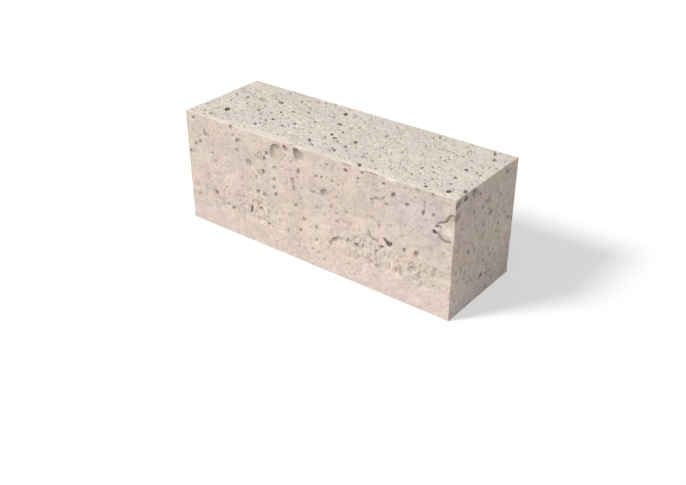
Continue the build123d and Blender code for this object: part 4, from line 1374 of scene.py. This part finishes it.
def formedSides(mixer):
    tree, where = mixer.tree, mixer.where
    colour = mixer.patched((*concrete["cast"], 1), concrete["sidePatches"])
    ragged = sums(tree, "ADD", where["FromTop"], mixer.patch(*concrete["footRagged"]))
    foot = spread(tree, ragged, *concrete["footFrom"])
    colour = mixer.tint(colour, mixer.times(foot, concrete["footShare"]), "foot")
    colour = mixer.stained(colour, ("front", "rightEnd", "back", "leftEnd"))
    colour = mixer.mottled(colour, concrete["sideMottle"])
    streaks = mixer.patch(*concrete["streaks"], mixer.stretched((1.0, 1.0, concrete["streaksTall"])))
    colour = mixer.tint(colour, mixer.times(where["Ends"], streaks), "stain")

    # Pale flecks in the band that the form dragged
    flecks = mixer.speck(*concrete["dragged"], mixer.stretched((1.0, 1.0, concrete["draggedTall"])))
    flecks = mixer.times(mixer.stain(*concrete["draggedAt"]), flecks)
    return mixer.tint(colour, mixer.times(flecks, concrete["draggedShare"]), "sand")


def smoothStrip(mixer):
    # Where the top is smooth along its front arris, wider near the crater.
    tree, where = mixer.tree, mixer.where
    nearCrater = sums(tree, "SUBTRACT", where["Along"], washedMargin["wideAt"] * toMetres)
    nearCrater = spread(tree, sums(tree, "ABSOLUTE", nearCrater), *concrete["stripNearCrater"])
    reach = sums(tree, "ADD", mixer.patch(*concrete["stripRagged"]), concrete["stripReach"])
    reach = sums(tree, "ADD", reach, nearCrater)
    fromReach = sums(tree, "SUBTRACT", where["FromFront"], reach)
    strip = spread(tree, fromReach, -concrete["stripSoft"], concrete["stripSoft"], 1.0, 0.0)
    worn = spread(tree, mixer.patch(*concrete["stripWorn"]), 0.0, 1.0, concrete["stripLeast"], 1.0)
    return mixer.times(strip, worn)


def washedTop(mixer, strip):
    colour = mixer.patched((*concrete["washed"], 1), concrete["washedPatches"])
    colour = mixer.mottled(colour, concrete["washedMottle"])
    farther = (*concrete["fartherFrom"], 1.0, concrete["fartherShade"])
    colour = mixer.shade(colour, spread(mixer.tree, mixer.where["FromFront"], *farther))
    return mixer.stained(mixer.tint(colour, strip, "margin"), ("top",))


def makeConcrete():
    material = bpy.data.materials.new("castConcrete")
    tree = startNodes(material)
    mixer = Mixer(tree)
    onTop = mixer.where["Top"]
    strip = smoothStrip(mixer)
    colour = blend(tree, onTop, formedSides(mixer), washedTop(mixer, strip))

    # Fine sand in the skin, light and dark, and specks too small to be carved
    grainScale = 1 / concrete["grainSize"]
    grain = place(tree, "TexNoise", {"Vector": mixer.spot, "Scale": grainScale, "Detail": 2.0}).outputs[0]
    grainShade = spread(tree, grain, *concrete["grainRange"], *concrete["grainShade"])
    colour = mixer.shade(colour, grainShade)
    plainTop = mixer.times(onTop, spread(tree, strip, 0.0, 1.0, 1.0, concrete["stripSpecks"]))
    drawn = mixer.stretched((concrete["washedDrawn"], 1.0, 1.0), math.radians(concrete["washedTurn"]))
    topSpecks = mixer.times(mixer.eitherSpeck(concrete["darkOnTop"], drawn), plainTop)
    sideSpecks = mixer.times(mixer.eitherSpeck(concrete["darkOnSides"]), concrete["sideShare"])
    sideSpecks = mixer.times(sideSpecks, sums(tree, "SUBTRACT", 1.0, onTop))
    darkSpecks = sums(tree, "ADD", topSpecks, sideSpecks)
    colour = mixer.tint(colour, mixer.times(darkSpecks, concrete["darkShare"]), "specks")
    lightSpecks = mixer.times(mixer.speck(*concrete["lightOnTop"], drawn), plainTop)
    colour = mixer.tint(colour, mixer.times(lightSpecks, concrete["lightShare"]), "sand")

    # Dirt and painted shade in the holes, grooves, scars and dimples, from the mesh
    dirtAndShadeInHollows = place(tree, "Attribute", attribute_name="dirtAndShadeInHollows").outputs["Fac"]
    colour = mixer.tint(colour, dirtAndShadeInHollows, "holeDirtAndShade")

    crumbly = sums(tree, "ADD", *(mixer.patch(*row) for row in concrete["crumblyHigh"]))
    height = sums(tree, "ADD", mixer.times(grain, concrete["grainHigh"]), crumbly)
    height = sums(tree, "SUBTRACT", height, mixer.times(darkSpecks, concrete["darkDeep"]))
    height = sums(tree, "ADD", height, mixer.times(lightSpecks, concrete["lightHigh"]))
    bump = place(tree, "Bump", {"Height": height, "Distance": 1.0})
    sources = {"Base Color": colour, "Roughness": concrete["roughness"], "Normal": bump.outputs[0]}
    skin = place(tree, "BsdfPrincipled", sources)
    place(tree, "OutputMaterial", {"Surface": skin.outputs[0]})
    return material


dressedPaver = makePaver()
dressedPaver.data.materials.clear()
dressedPaver.data.materials.append(makeConcrete())
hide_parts("paver_block")
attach(dressedPaver, "root")
print("stage: paver dressed")
